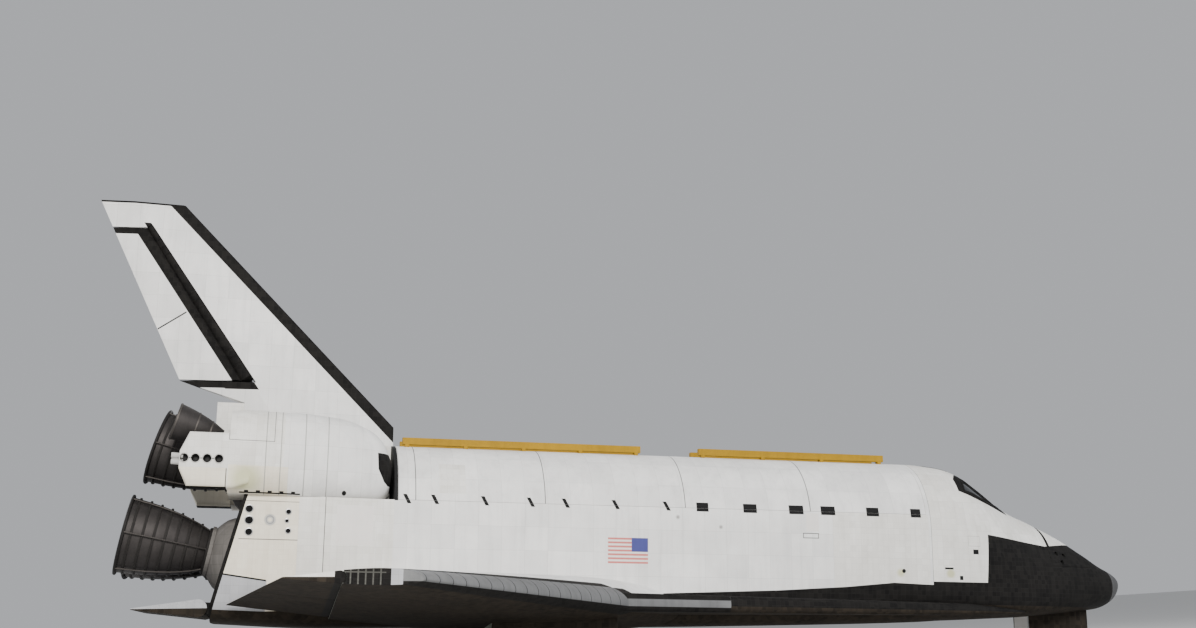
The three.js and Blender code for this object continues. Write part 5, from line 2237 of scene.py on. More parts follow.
    def cove(self) -> Form:
        """The room that the elevons turn in.

        Returns:
            The form.
        """
        rings = []
        for y in (self.inner_y - 10, self.tip_y + 10):
            radius = self.hinge(y)[1] + RUN
            arc = [
                (radius * math.cos(a), radius * math.sin(a))
                for a in np.radians(np.linspace(90 + self.up, 270 - self.down, 28))
            ]
            outline = [(arc[0][0], 60), *arc, (arc[-1][0], -60), (200, -60), (200, 60)]
            rings.append(self.beside_hinge(y, outline))
        return loft(rings)

    def elevon(self, start: float, end: float) -> Form:
        """One elevon, round-nosed and tapering to its trailing edge.

        Args:
            start: Where it starts.
            end: Where it ends.

        Returns:
            The form.
        """
        rings = []
        for y in np.linspace(start, end, 7):
            radius, chord = self.hinge(y)[1], self.trail_x(y) - self.hinge_x
            arc = [(radius * math.cos(a), radius * math.sin(a)) for a in np.radians(np.linspace(90, 270, 33))]
            down, back = np.linspace(0.1, 1, 10), np.linspace(1, 0.1, 10)
            lower = [(u, -radius + (radius - 2.6) * s) for s, u in zip(down, down * chord)]
            upper = [(u, radius + (-1.3 - radius) * s) for s, u in zip(back, back * chord)]
            rings.append(self.beside_hinge(y, [*arc, *lower, *upper]))
        return loft(rings)

    def under_wing(self, lift: float = 0.0) -> Mask:
        """Under the chord plane."""
        climb = self.dihedral - self.incidence * self.trail_slope
        return under_plane(self.incidence, climb, self.root_z + self.incidence * self.root_trail_x + lift)

    def skin(self) -> Material:
        """White above, black below, a dark band behind the carbon edge and a striped tip.

        Returns:
            The material.
        """
        behind = both(where(Axis.Y, self.kink_y, 470), slanted_plan(self.root_x, 0, 36))
        origin = self.root_x + self.kink_y * (1 - self.glove_slope)
        glove_edge = both(
            where(Axis.X, self.edge_start - 2, 1030),
            where(Axis.Y, 80, self.kink_y),
            slanted_plan(origin, 94, 112, self.glove_slope),
        )
        glove_tip = either(
            where(Axis.X, 400, 640),
            both(where(Axis.X, 600, self.edge_start), slanted_plan(origin, -90, 112, self.glove_slope)),
        )
        tip = where(Axis.Y, 467.5, 475)
        dark_tip = both(where(Axis.Y, 465, 475), where(Axis.X, 1337, 1500))
        ticks = both(
            dark_tip,
            either(bands(Axis.X, 1339, 7.4, 1.5), where(Axis.Z, 311.5, 312.7)),
            where(Axis.X, 1342, 1470),
        )
        return Finish(
            "wing_tiles",
            WHITE_BLANKET,
            (
                (BLACK_SIDE, either(behind, glove_edge, glove_tip)),
                (GROUND_LIT_BLACK_TILE, self.under_wing()),
                (LIGHT_GREY, tip),
                (BLACK_SIDE, dark_tip),
                (TICK, ticks),
            ),
        ).material()

    def edge_finish(self) -> Material:
        """Carbon in a grey darkened partly by painted shade, black painted shade below, black over the
        glove's top, and seams between its panels.

        Returns:
            The material.
        """
        # The grey is darker than the bare carbon and heavily stained, partly to paint the shade the edge lies
        # in; the rest is the carbon's own grey and dirt.
        grey = Painted((0.15, 0.153, 0.157), (0.32, 0.32, 0.32), roughness=0.6, stain=0.9, grain=0.5)
        rim = both(outside(self.under_wing(self.edge_top)), where(Axis.Y, 80, self.kink_y))
        layers = (
            # The black under the chord plane is painted shade on the carbon's underside, which is grey like
            # the rest.
            (BLACK_SIDE, rim), (BLACK_SIDE, self.under_wing(-2)), (DARK_MARK, carbon_seams(self.kink_y))
        )
        return Finish("edge_carbon_and_shade", grey, layers).material()

    def elevon_finish(self) -> Material:
        """White above, black below and on the nose that turns in the cove.

        Returns:
            The material.
        """
        z, _, tilt = self.hinge(self.elevon_in)
        slope = math.tan(tilt)
        below = under_elevon(slope, z - self.elevon_in * slope, self.hinge_x)
        nose = where(Axis.X, 1300, self.hinge_x + 5)
        return Finish("elevon_tiles", WHITE_TILE, ((GROUND_LIT_BLACK_TILE, below), (BLACK_SIDE, nose))).material()

    def make(self) -> None:
        """Builds both wings."""
        skin = self.skin()
        inside = Finish("well_lining", Painted((0.32, 0.35, 0.30), (0.6, 0.6, 0.6), roughness=0.6)).material()
        edge_skin = self.edge_finish()
        elevon_skin = self.elevon_finish()
        x0, x1, y0, y1, top = self.well
        for side, hand in SIDES:
            cuts = [
                (Cut.JOIN, self.glove().on(side)),
                (Cut.TAKE, self.edge_strip(SEAT).on(side)),
                (Cut.TAKE, self.cove().painted(INSIDE).on(side)),
                (Cut.TAKE, block((x0, x1), (y0, y1), (0, top), INSIDE).on(side)),
            ]
            piece(
                f"wing_shell_{hand}",
                self.blank().on(side),
                [skin, inside],
                Fitting(replaces=(f"wing_{hand}",)),
                cuts,
            )
            edge = [(Cut.JOIN, self.glove().on(side)), (Cut.KEEP, self.edge_strip(0).on(side))]
            fitting = Fitting(slot="carbon", replaces=(f"leading_edge_{hand}",))
            piece(f"wing_edge_{hand}", self.blank().on(side), [edge_skin], fitting, edge)
            split, gap = self.elevon_split, 0.6
            for name, start, end in (
                ("inboard", self.elevon_in, split - gap), ("outboard", split + gap, self.elevon_out)
            ):
                node = f"elevon_{name}_{hand}"
                piece(
                    f"elevon_shell_{name}_{hand}",
                    self.elevon(start, end).on(side),
                    [elevon_skin],
                    Fitting(node, replaces=(node,)),
                )


@masking
def carbon_seams(graph: Graph, spot: Spot, kink_y: float) -> Socket:
    """Seams between the panels of the carbon edge: square to it on the wing, and across it on the glove.

    Args:
        graph: The graph to add to.
        spot: The place to look at.
        kink_y: Where the glove meets the wing.

    Returns:
        Its output.
    """
    wing_pitch, glove_pitch, glove_start = 31.0, 23.0, 1024.0
    outer = graph.math("ADD", spot.x, spot.y)
    share = graph.math("WRAP", outer, wing_pitch, 0.0)
    on_wing = graph.all(graph.under(share, 1.3, 0.3), graph.over(spot.y, kink_y))
    inner = graph.math("WRAP", spot.x, glove_start + glove_pitch, glove_start)
    return graph.any(on_wing, graph.all(graph.under(inner, 0.8, 0.3), graph.under(spot.y, kink_y)))


@masking
def under_elevon(graph: Graph, spot: Spot, slope: float, level: float, hinge_x: float) -> Socket:
    """Under the middle of the elevons, whose line climbs outward and falls a little behind the hinge.

    Args:
        graph: The graph to add to.
        spot: The place to look at.
        slope: Its climb for each inch outward.
        level: Its height at the centreline.
        hinge_x: The hinge's station.

    Returns:
        Its output.
    """
    line = graph.math("MULTIPLY_ADD", spot.y, slope, level)
    drop = graph.math("MULTIPLY", graph.math("SUBTRACT", spot.x, hinge_x), -2.0 / 120)
    return graph.under(spot.z, graph.math("ADD", line, drop), 0.3)


# Fin, pods and engines.


@dataclass
class Tail:
    """The fin and the split rudder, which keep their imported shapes, and the chute's housing."""

    low: tuple[float, float] = (1493.3, 578.0)
    high: tuple[float, float] = (1633.1, 779.0)
    lead_x: float = 1277.9
    root_z: float = 500.0

    @property
    def lean(self) -> float:
        """How far the hinge line runs aft for each inch it rises."""
        return (self.high[0] - self.low[0]) / (self.high[1] - self.low[1])

    def make(self, nodes: dict[str, Object]) -> None:
        """Dresses the fin, the rudder and the housing.

        Args:
            nodes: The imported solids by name.
        """
        origin = self.low[0] - self.lean * self.low[1]
        lead = slanted(1.0, self.lead_x - self.root_z, -20, 21)
        hinge = both(where(Axis.Z, 567.5, 779.5), slanted(self.lean, origin, -3.5, 40))
        stub = both(where(Axis.Z, 779, 787), slanted(self.lean, origin, -3, 6))
        foot = both(where(Axis.Z, 568.5, 578), where(Axis.X, 1496, 1700))
        tip = where(Axis.Z, 813.2, 820)
        fin = Finish(
            "fin_blankets", WHITE_BLANKET, ((BLACK_SIDE, either(lead, hinge, stub, foot, tip)),)
        ).material()
        front = slanted(self.lean, origin, -12, 24)
        caps = either(where(Axis.Z, 771, 782), where(Axis.Z, 570, 578.4))
        seam = polygon([(1616.8, 643.4), (1581.7, 667.1), (1582.3, 668.9), (1617.4, 645.2)], soft=0.2)
        panel = Finish(
            "rudder_blankets", WHITE_BLANKET, ((DARK_MARK, seam), (BLACK_SIDE, either(front, caps)))
        ).material()
        dress(nodes["fin"], fin)
        for hand in ("left", "right"):
            dress(nodes[f"rudder_panel_{hand}"], panel)
        dress(nodes["rudder_torque_tube"], Finish("rudder_core_tiles", BLACK_SIDE).material())
        dress(nodes["drag_chute_housing"], Finish("housing_tiles", WHITE_TILE).material())


def dress(node: Object, finish: Material) -> None:
    """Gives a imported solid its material."""
    for holder in node.material_slots:
        holder.material = finish


@dataclass(frozen=True)
class Engine:
    """A rocket engine's nozzle: its gimbal point, and how far it is pitched up and turned out."""

    x: float
    y: float
    z: float
    up: float
    out: float

    @property
    def line(self) -> Array:
        """The way its exhaust leaves."""
        rise, turn = math.radians(self.up), math.radians(self.out)
        return np.array([math.cos(rise) * math.cos(turn), math.cos(rise) * math.sin(turn), math.sin(rise)])

    def at(self, distance: float) -> Array:
        """A point on the thrust line."""
        return np.array([self.x, self.y, self.z]) + distance * self.line

    def meridian(self, angle: float, places: Sequence[tuple[float, float]]) -> list[Array]:
        """Points down the bell's side, from (radius, distance) pairs.

        Args:
            angle: Where round the bell.
            places: The pairs.

        Returns:
            The points.
        """
        _, first, second = frame_of(self.line)
        spoke = math.cos(angle) * first + math.sin(angle) * second
        return [self.at(s) + r * spoke for r, s in places]


@dataclass
class Engines:
    """The three main engines and the pods' two, with their pipes and hoops."""

    main: tuple[tuple[str, Engine], ...] = (
        ("top", Engine(1445, 0, 443, 16, 0)),
        ("left", Engine(1468.2, -53, 342.6, 10, -3.5)),
        ("right", Engine(1468.2, 53, 342.6, 10, 3.5)),
    )
    bell: tuple[tuple[float, float], ...] = ((22.5, 62), (30.5, 80), (38.7, 108), (43.5, 136), (46.5, 168))
    pod_bell: tuple[tuple[float, float], ...] = ((8, 18), (13.5, 32), (18, 48), (21.5, 66), (23, 78))

    @staticmethod
    def pod(side: int) -> Engine:
        """The engine of the pod on one side."""
        return Engine(1505, side * 88, 488, 15.8, side * 6.5)

    @staticmethod
    def radii(outline: Sequence[tuple[float, float]], places: Array) -> Array:
        """The bell's radii at distances down the thrust line."""
        return smooth_curve([s for _, s in outline], [r for r, _ in outline], places)

    def wall(self, outline: Sequence[tuple[float, float]], wall: float) -> list[Point]:
        """A bell's closed profile, smooth through its outline, with a rounded lip.

        Args:
            outline: The bell's (radius, distance) pairs.
            wall: The wall's thickness.

        Returns:
            The profile.
        """
        places = np.linspace(outline[0][1], outline[-1][1], 40)
        radii = self.radii(outline, places)
        outer = list(zip(radii, places))
        inner = [(r - wall, max(s, outline[0][1] + wall)) for r, s in outer][::-1]
        lip = (radii[-1] - wall / 2, places[-1] + 0.4)
        return [(0, outline[0][1]), *outer, lip, *inner, (0, outline[0][1] + wall)]

    def make(self) -> None:
        """Builds every nozzle."""
        burnt = Painted((0.06, 0.055, 0.054), (0.16, 0.145, 0.13), roughness=0.55, wear=0.8, stain=1.0)
        steel = Finish("bell_steel", burnt, metallic=0.7).material()
        for name, engine in self.main:
            form = lathe(self.wall(self.bell, 1.6), engine.at(0), engine.line, 128)
            piece(
                f"main_bell_{name}",
                form,
                [steel],
                Fitting(slot="nozzle", replaces=(f"main_engine_{name}",)),
            )
            self.hoops(name, engine)
            places = np.linspace(66, 165, 24)
            line = pipe(
                engine.meridian(0, [(r + 2.6, s) for r, s in zip(self.radii(self.bell, places), places)]),
                1.0,
            )
            copies = Repeat(
                f"main_bell_pipes_{name}",
                line,
                steel,
                6,
                centre=engine.at(0),
                axis=engine.line,
                turn=math.radians(60),
            )
            copies.make(Fitting(slot="nozzle"))
            self.liner(name, engine)
        for side, hand in SIDES:
            engine = self.pod(side)
            form = lathe(self.wall(self.pod_bell, 1.0), engine.at(0), engine.line, 96)
            piece(f"pod_bell_{hand}", form, [steel], Fitting(slot="nozzle", replaces=(f"pod_engine_{hand}",)))
            band = Form()
            places = np.array([34, 52, 76.5])
            for r, s in zip(self.radii(self.pod_bell, places), places):
                profile = [(r - 0.4, s - 1), (r + 0.8, s - 0.7), (r + 0.8, s + 0.7), (r - 0.4, s + 1)]
                band.join(ring_form(profile, engine.at(0), engine.line, 72))
            piece(f"pod_bell_bands_{hand}", band, [steel], Fitting(slot="nozzle"))

    def hoops(self, name: str, engine: Engine) -> None:
        """Flat hoops round a main bell, and a round manifold at each end, all painted dark as the shade
        beside the hoops.

        Args:
            name: Its name.
            engine: The engine.
        """
        # The hoops and manifolds are painted near black as the shade that falls beside each hoop; the real
        # hoops are the bell's own metal.
        black = Painted((0.016, 0.015, 0.015), (0.07, 0.065, 0.06), roughness=0.6, wear=0.7, stain=0.8)
        hoops = Form()
        places = np.linspace(78, 157, 7)
        for r, s in zip(self.radii(self.bell, places), places):
            crown = [(r + 1.7, s - 1.3), (r + 2.1, s), (r + 1.7, s + 1.3)]
            hoops.join(
                ring_form([(r - 0.5, s - 1.7), *crown, (r - 0.5, s + 1.7)], engine.at(0), engine.line, 96)
            )
        for s, thick in ((166, 2.0), (65.5, 2.8)):
            centre = self.radii(self.bell, np.array([s]))[0] + thick * 0.75
            turn = np.linspace(0, 2 * math.pi, 12, endpoint=False)
            profile = [(centre + thick * math.cos(a), s + thick * math.sin(a)) for a in turn]
            hoops.join(ring_form(profile, engine.at(0), engine.line, 96))
        hoop = Finish("bell_hoop_shade", black, metallic=0.3).material()
        piece(f"main_bell_hoops_{name}", hoops, [hoop], Fitting(slot="nozzle"))

    def liner(self, name: str, engine: Engine) -> None:
        """The darker inside of a main bell.

        Args:
            name: Its name.
            engine: The engine.
        """
        soot = Painted((0.05, 0.046, 0.043), (0.16, 0.15, 0.13), roughness=0.55, stain=1.0)
        throat = Finish("bell_inside", soot, metallic=0.4).material()
        places = np.linspace(64, 167.5, 24)
        liner = [(r - 1.65, s) for r, s in zip(self.radii(self.bell, places), places)]
        profile = [(0, 63.9), *liner, *[(r - 0.3, s) for r, s in liner][::-1], (0, 64.3)]
        inner = lathe(profile, engine.at(0), engine.line, 96)
        piece(f"main_bell_liner_{name}", inner, [throat], Fitting(slot="nozzle"))


@dataclass
class AftFuselage:
    """The engine compartment with its base, side panels and engine domes."""

    outline: tuple[tuple[float, float], ...] = (
        (AFT_START + SEAT, 200), (1524, 200), (1522, 290), (1488, 430), (1500, 520), (AFT_START + SEAT, 520)
    )
    dome: tuple[tuple[float, float], ...] = (
        (50, -10), (50, 25), (48.6, 34), (46, 42), (42, 49), (37, 54), (31.5, 58.5), (26, 62)
    )
    # station, height and radius of each service port
    ports: tuple[tuple[float, float, float], ...] = (
        (1483.5, 402.3, 4.4), (1483, 388.6, 4.8), (1482.5, 374.4, 4.2), (1436.5, 400, 3), (1438, 389, 2.2),
        (1435.9, 376.8, 3),
    )
    # station and height of the drain
    drain: tuple[float, float] = (1458.2, 389.6)

    def skin(self) -> Material:
        """White tiles, cream toward the engines, with a black base and black tiles below.

        Returns:
            The material.
        """
        lean = 34 / 140
        base = slanted(-lean, 1522 + lean * 290, -4.5, 60)
        ring = both(disc(*self.drain, 6.6, soft=2), outside(disc(*self.drain, 2.6, soft=1.5)))
        panel = box(1424, 1494, 366, 412)
        lower = both(where(Axis.X, 1458, 1530), below_line([(1458.6, 316.5), (1514.5, 324), (1530, 324)]))
        bright = box(1332.7, 1378, 362, 411, soft=0.4)
        edge = polygon([(1458.6, 315.5), (1514.5, 323), (1514.5, 325), (1458.6, 317.5)], soft=0.2)
        rows = both(
            where(Axis.X, 1424, 1494), either(where(Axis.Z, 365.4, 366.2), where(Axis.Z, 411.8, 412.4))
        )
        layers = (
            (CREAM_TILE, either(panel, where(Axis.X, 1424, 1530))),
            (WHITE_CLOTH, bright),
            (SMUDGE, ring),
            (LIGHT_GREY, lower),
            (DARK_MARK, either(edge, where(Axis.X, 1391.6, 1392.4), rows)),
            (GROUND_LIT_BLACK_TILE, below_line([(1307, 288), (1380, 284), (1460, 280), (1530, 282)])),
            (BLACK_SIDE, base),
        )
        return Finish("aft_tiles", WHITE_TILE, layers).material()

    def make(self, nodes: dict[str, Object]) -> None:
        """Builds the compartment and dresses the body flap.

        Args:
            nodes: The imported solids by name.
        """
        skin = self.skin()
        quilt = Tiled(
            (0.17, 0.16, 0.152), (0.08, 0.075, 0.07), 12, 0.4, tone=0.4, dark=0.4, stain=0.8, roughness=0.85
        )
        blanket = Finish("dome_blanket", quilt).material()
        shoulders = [
            (Cut.TAKE, block((0, FAR), (RIDGE_Y, 300), (SILL_Z, 600)).on(side))
            for side in (STARBOARD, PORT)
        ]
        keep = prism(self.outline, -300, 300, Axis.Y)
        nose = bar((1536, -119, 283), (1536, 119, 283), 10.6, 48)
        body = Hull.body(AFT_START - 2, 1540, 6, count=160)
        cuts = [(Cut.KEEP, keep), *shoulders, (Cut.TAKE, nose)]
        piece("aft_fuselage_shell", body, [skin], Fitting(replaces=("aft_fuselage",)), cuts)
        domes = Form()
        for _, engine in Engines().main:
            domes.join(lathe([(0, -10), *self.dome, (0, 62)], engine.at(0), engine.line, 96))
            domes.join(ring_form([(27, 60), (31, 60), (31, 64.5), (27, 64.5)], engine.at(0), engine.line, 96))
        piece("engine_domes", domes, [blanket], Fitting(slot="blanket"))
        for y in (-105, -38, 38, 105):
            bearing = block((1505, 1530.9), (y - 4, y + 4), (276, 290))
            piece(f"flap_bearing_{'port' if y < 0 else 'star'}_{abs(y)}", bearing, [skin], Fitting())
        self.side_fittings()
        dress(
            nodes["body_flap"],
            Finish("flap_tiles", LIGHT_GREY, ((GROUND_LIT_BLACK_TILE, under_flap(1536, 283, -0.026)),)).material(),
        )

    def side_fittings(self) -> None:
        """Ground connection ports on both flanks."""
        dark = bpy.data.materials["hinge_cover"]
        bright = bpy.data.materials["hatch_metal"]
        for side, hand in SIDES:
            holes, rims = Form(), Form()
            for x, z, radius in self.ports:
                y = Hull.side(x, z)
                plug = [(0, 0), (radius, 0), (radius, 0.5), (radius * 0.8, 0.6), (0, 0.3)]
                holes.join(lathe(plug, (x, y - 0.1, z), ACROSS, 40))
                rim = [(radius - 0.2, -0.5), (radius + 0.8, -0.5), (radius + 0.8, 0.5), (radius - 0.2, 0.8)]
                rims.join(ring_form(rim, (x, y, z), ACROSS, 40))
            x, z = self.drain
            for radius in (5.4, 3.0):
                rim = [(radius, -0.5), (radius + 0.7, -0.5), (radius + 0.7, 0.5), (radius, 0.5)]
                rims.join(ring_form(rim, (x, Hull.side(x, z), z), ACROSS, 40))
            piece(f"service_ports_{hand}", holes.on(side), [dark], Fitting(slot="metal"))
            piece(f"service_rims_{hand}", rims.on(side), [bright], Fitting(slot="metal"))


@dataclass
class Pods:
    """The two manoeuvring engine pods with their thruster housings."""

    # station, middle and half width across, middle and half height
    sections: tuple[tuple[float, ...], ...] = (
        (1308.6, 60, 3, 452, 2.4),
        (1310, 60, 20, 452, 14.5),
        (1312, 60, 30, 452, 22),
        (1322, 61, 42, 457, 38),
        (1340, 63, 51, 462, 48),
        (1380, 68, 60, 468, 55),
        (1440, 73, 65, 469, 58),
        (1490, 76, 68, 469, 58),
        (1511, 76, 68, 469, 57),
    )
    housing: tuple[tuple[float, ...], ...] = (
        (1486, 126, 13, 458, 27), (1504, 130, 16.5, 457.5, 33.5), (1558, 130, 16.5, 457.5, 33.5),
        (1568, 130, 16, 456.5, 11.5),
    )
    floor: float = 420.0
    side_ports: tuple[float, ...] = (1522.1, 1535.8, 1549.5, 1562.6)
    side_port_z: float = 458.4
    upright_ports: tuple[float, ...] = (1520, 1535, 1550)

    @staticmethod
    def rounded(rows: Sequence[Sequence[float]], power: float, count: int) -> Array:
        """Squared-off rings of (station, middle, half width, height, half height) rows.

        Args:
            rows: The rows.
            power: How square they are.
            count: How many points there are.

        Returns:
            The points.
        """
        turn = np.linspace(0, 2 * math.pi, count, endpoint=False)
        across = np.sign(np.cos(turn)) * np.abs(np.cos(turn)) ** (2 / power)
        up = np.sign(np.sin(turn)) * np.abs(np.sin(turn)) ** (2 / power)
        return np.array(
            [
                np.stack([np.full(count, x), y + wide * across, z + high * up], axis=1)
                for x, y, wide, z, high in rows
            ]
        )

    def shell(self) -> Form:
        """The pod's smooth body.

        Returns:
            The form.
        """
        table = np.array(self.sections)
        stations = np.concatenate([np.linspace(1308.6, 1312, 6), np.linspace(1314, 1511, 46)])
        columns = [smooth_curve(table[:, 0], table[:, k], stations) for k in range(1, 5)]
        return loft(self.rounded(list(zip(stations, *columns)), 2.6, 112))

    def skin(self) -> Material:
        """White blankets and tiles, with the dark front and the housing's seams.

        Returns:
            The material.
        """
        front = polygon(
            [(1300, 436.5), (1316, 437), (1321, 441.6), (1329, 457), (1330.5, 477.5), (1300, 477.5)]
        )
        gap = both(where(Axis.X, 1300, 1313.2), where(Axis.Z, 418, 486))
        foot = both(where(Axis.X, 1424, 1497), where(Axis.Z, 420.6, 422.2))
        bumps = both(bands(Axis.X, 1430, 14, 5), where(Axis.X, 1430, 1500), where(Axis.Z, 421, 424))
        panels = either(frame_lines(1457.7, 1511.7, 482, 529.5, 0.6), foot, bumps, disc(1370.5, 425, 2.8))
        lines = either(*(where(Axis.X, x - 0.5, x + 0.5, 0.8) for x in (1467.6, 1449.7, 1420.8, 1393)))
        below = both(under(425.2), where(Axis.X, 1512, 1580))
        lower = both(where(Axis.Z, 424, 447.5), where(Axis.X, 1512, 1580))
        olive = both(disc(1490, 436, 17, soft=14), where(Axis.X, 1446, 1512, 6), where(Axis.Z, 424, 452, 4))
        level = both(where(Axis.X, 1522, 1562.6), where(Axis.Z, 457.8, 459))
        seams = either(level, both(where(Axis.X, 1512.4, 1513.4), where(Axis.Z, 424, 447)))
        layers = (
            (WHITE_TILE, where(Axis.X, 1446, 1600)),
            (CREAM_TILE, either(lower, both(where(Axis.X, 1440, 1511), where(Axis.Z, 420, 452)))),
            (OLIVE, olive),
            (SMUDGE, lines),
            (DARK_MARK, either(panels, seams)),
            (BLACK_SIDE, either(both(front, outboard(58.0)), gap, below)),
        )
        return Finish("pod_blankets", WHITE_BLANKET, layers).material()

    def make(self) -> None:
        """Builds both pods."""
        skin, throat = self.skin(), bpy.data.materials["thruster_throat"]
        pale = Finish("thruster_rim", Painted((0.55, 0.54, 0.52), (0.3, 0.3, 0.3), roughness=0.5)).material()
        top_engine, engine = Engines().main[0][1], Engines.pod(STARBOARD)
        z = self.side_port_z
        for side, hand in SIDES:
            ports = [bar((x, 148, z), (x, 139, z), 5.3, 32, 3.0, slot=INSIDE) for x in self.side_ports]
            for x in self.upright_ports:
                ports.append(bar((x, 130, 493), (x, 130, 484), 4.2, 32, 2.4, slot=INSIDE))
                ports.append(bar((x, 130, 421), (x, 130, 431), 4.2, 32, 2.4, slot=INSIDE))
            cuts = [
                (Cut.JOIN, loft(self.rounded(self.housing, 7, 48)).on(side)),
                (Cut.JOIN, bar(engine.at(-10), engine.at(18), 9.5, 48).on(side)),
                (Cut.TAKE, block((0, FAR), (-300, 300), (0, self.floor + SEAT))),
                (Cut.TAKE, block((0, FAR), (-300, RIDGE_Y + SEAT), (0, 600)).on(side)),
                (Cut.TAKE, bar(top_engine.at(-12), top_engine.at(160), 51.6, 96)),
                *((Cut.TAKE, port.on(side)) for port in ports),
            ]
            fitting = Fitting(slot="blanket", replaces=(f"engine_pod_{hand}",))
            piece(f"pod_shell_{hand}", self.shell().on(side), [skin, throat], fitting, cuts)
            rims = Form()
            for x in self.side_ports:
                rims.join(
                    ring_form([(5.2, -0.6), (6.1, -0.6), (5.9, 0.5), (5.2, 0.5)], (x, 146.5, z), ACROSS, 40)
                )
            cup = [(0, -4), (3.2, -4), (3.4, 9.5), (2.4, 9.5), (1.6, 2), (0, 2)]
            for y, up in ((141, 461), (141, 453.5), (124, 458)):
                rims.join(lathe(cup, (1568, y, up), (1, 0, 0.05), 40))
            piece(f"thruster_rims_{hand}", rims.on(side), [pale], Fitting(slot="metal"))


# Landing gear.


@dataclass(frozen=True)
class Wheel:
    """The sizes of a wheel pair."""

    # the hub's section, as shares of the rim's radius and of half the wheel's width
    HUB: ClassVar = (
        *((0, -0.30), (0.30, -0.30), (0.34, -0.1), (0.72, -0.22), (0.86, -0.5), (0.96, -0.80), (1, -0.80)),
        *((1, 0.80), (0.965, 0.80), (0.9, 0.7), (0.84, 0.42), (0.72, 0.28), (0.4, 0.36), (0.36, 0.62)),
        *((0.30, 0.70), (0, 0.70)),
    )

    radius: float
    rim: float
    width: float
    spread: float
    axle: float

    def tyre(self, place: Point, which: int) -> Form:
        """A tyre with round shoulders and grooves in its tread.

        Args:
            place: Where it stands.
            which: -1 for the inner one, 1 for the outer one.

        Returns:
            The form.
        """
        half = self.width / 2
        side = [
            (self.rim - 0.4, half * 0.70),
            (self.rim + 0.3, half * 0.80),
            (self.rim + 1.0, half * 0.86),
            (self.rim * 0.55 + self.radius * 0.45, half * 0.985),
            (self.rim * 0.3 + self.radius * 0.7, half * 0.985),
            (self.radius - 2.2, half * 0.88),
            (self.radius - 0.9, half * 0.72),
            (self.radius - 0.25, half * 0.52),
        ]
        tread = []
        for groove in (0.34, 0.1):
            at = half * groove
            floor = self.radius - 0.5
            tread += [
                (self.radius, at + 0.32), (floor, at + 0.26), (floor, at - 0.26), (self.radius, at - 0.32)
            ]
        right = side + tread
        profile = right + [(r, -s) for r, s in reversed(right)]
        x, y, z = place
        return ring_form(profile, (x, y + which * self.spread, z), ACROSS, 72)

    def hubs(self, place: Point) -> Form:
        """Two rims and the axle between them.

        Args:
            place: Where it stands.

        Returns:
            The form.
        """
        x, y, z = place
        form = bar((x, y - self.spread - 1, z), (x, y + self.spread + 1, z), self.axle, 32)
        half = self.width / 2
        for side in (-1, 1):
            profile = [(self.rim * r, side * s * half) for r, s in self.HUB]
            form.join(lathe(profile, (x, y + side * self.spread, z), ACROSS, 64))
        return form


MAIN_WHEEL = Wheel(MAIN_RADIUS, 10.5, 16, 18.5, 2.6)
NOSE_WHEEL = Wheel(16, 7.5, 8.8, 11, 1.6)
MAIN_PLACE = (AXLE_X, 136.0, AXLE_Z)
NOSE_X = 377.0
NOSE_Z = AXLE_Z + (AXLE_X - NOSE_X) * math.tan(PITCH) - (MAIN_RADIUS - NOSE_WHEEL.radius) / math.cos(PITCH)
NOSE_PLACE = (NOSE_X, 0.0, NOSE_Z)


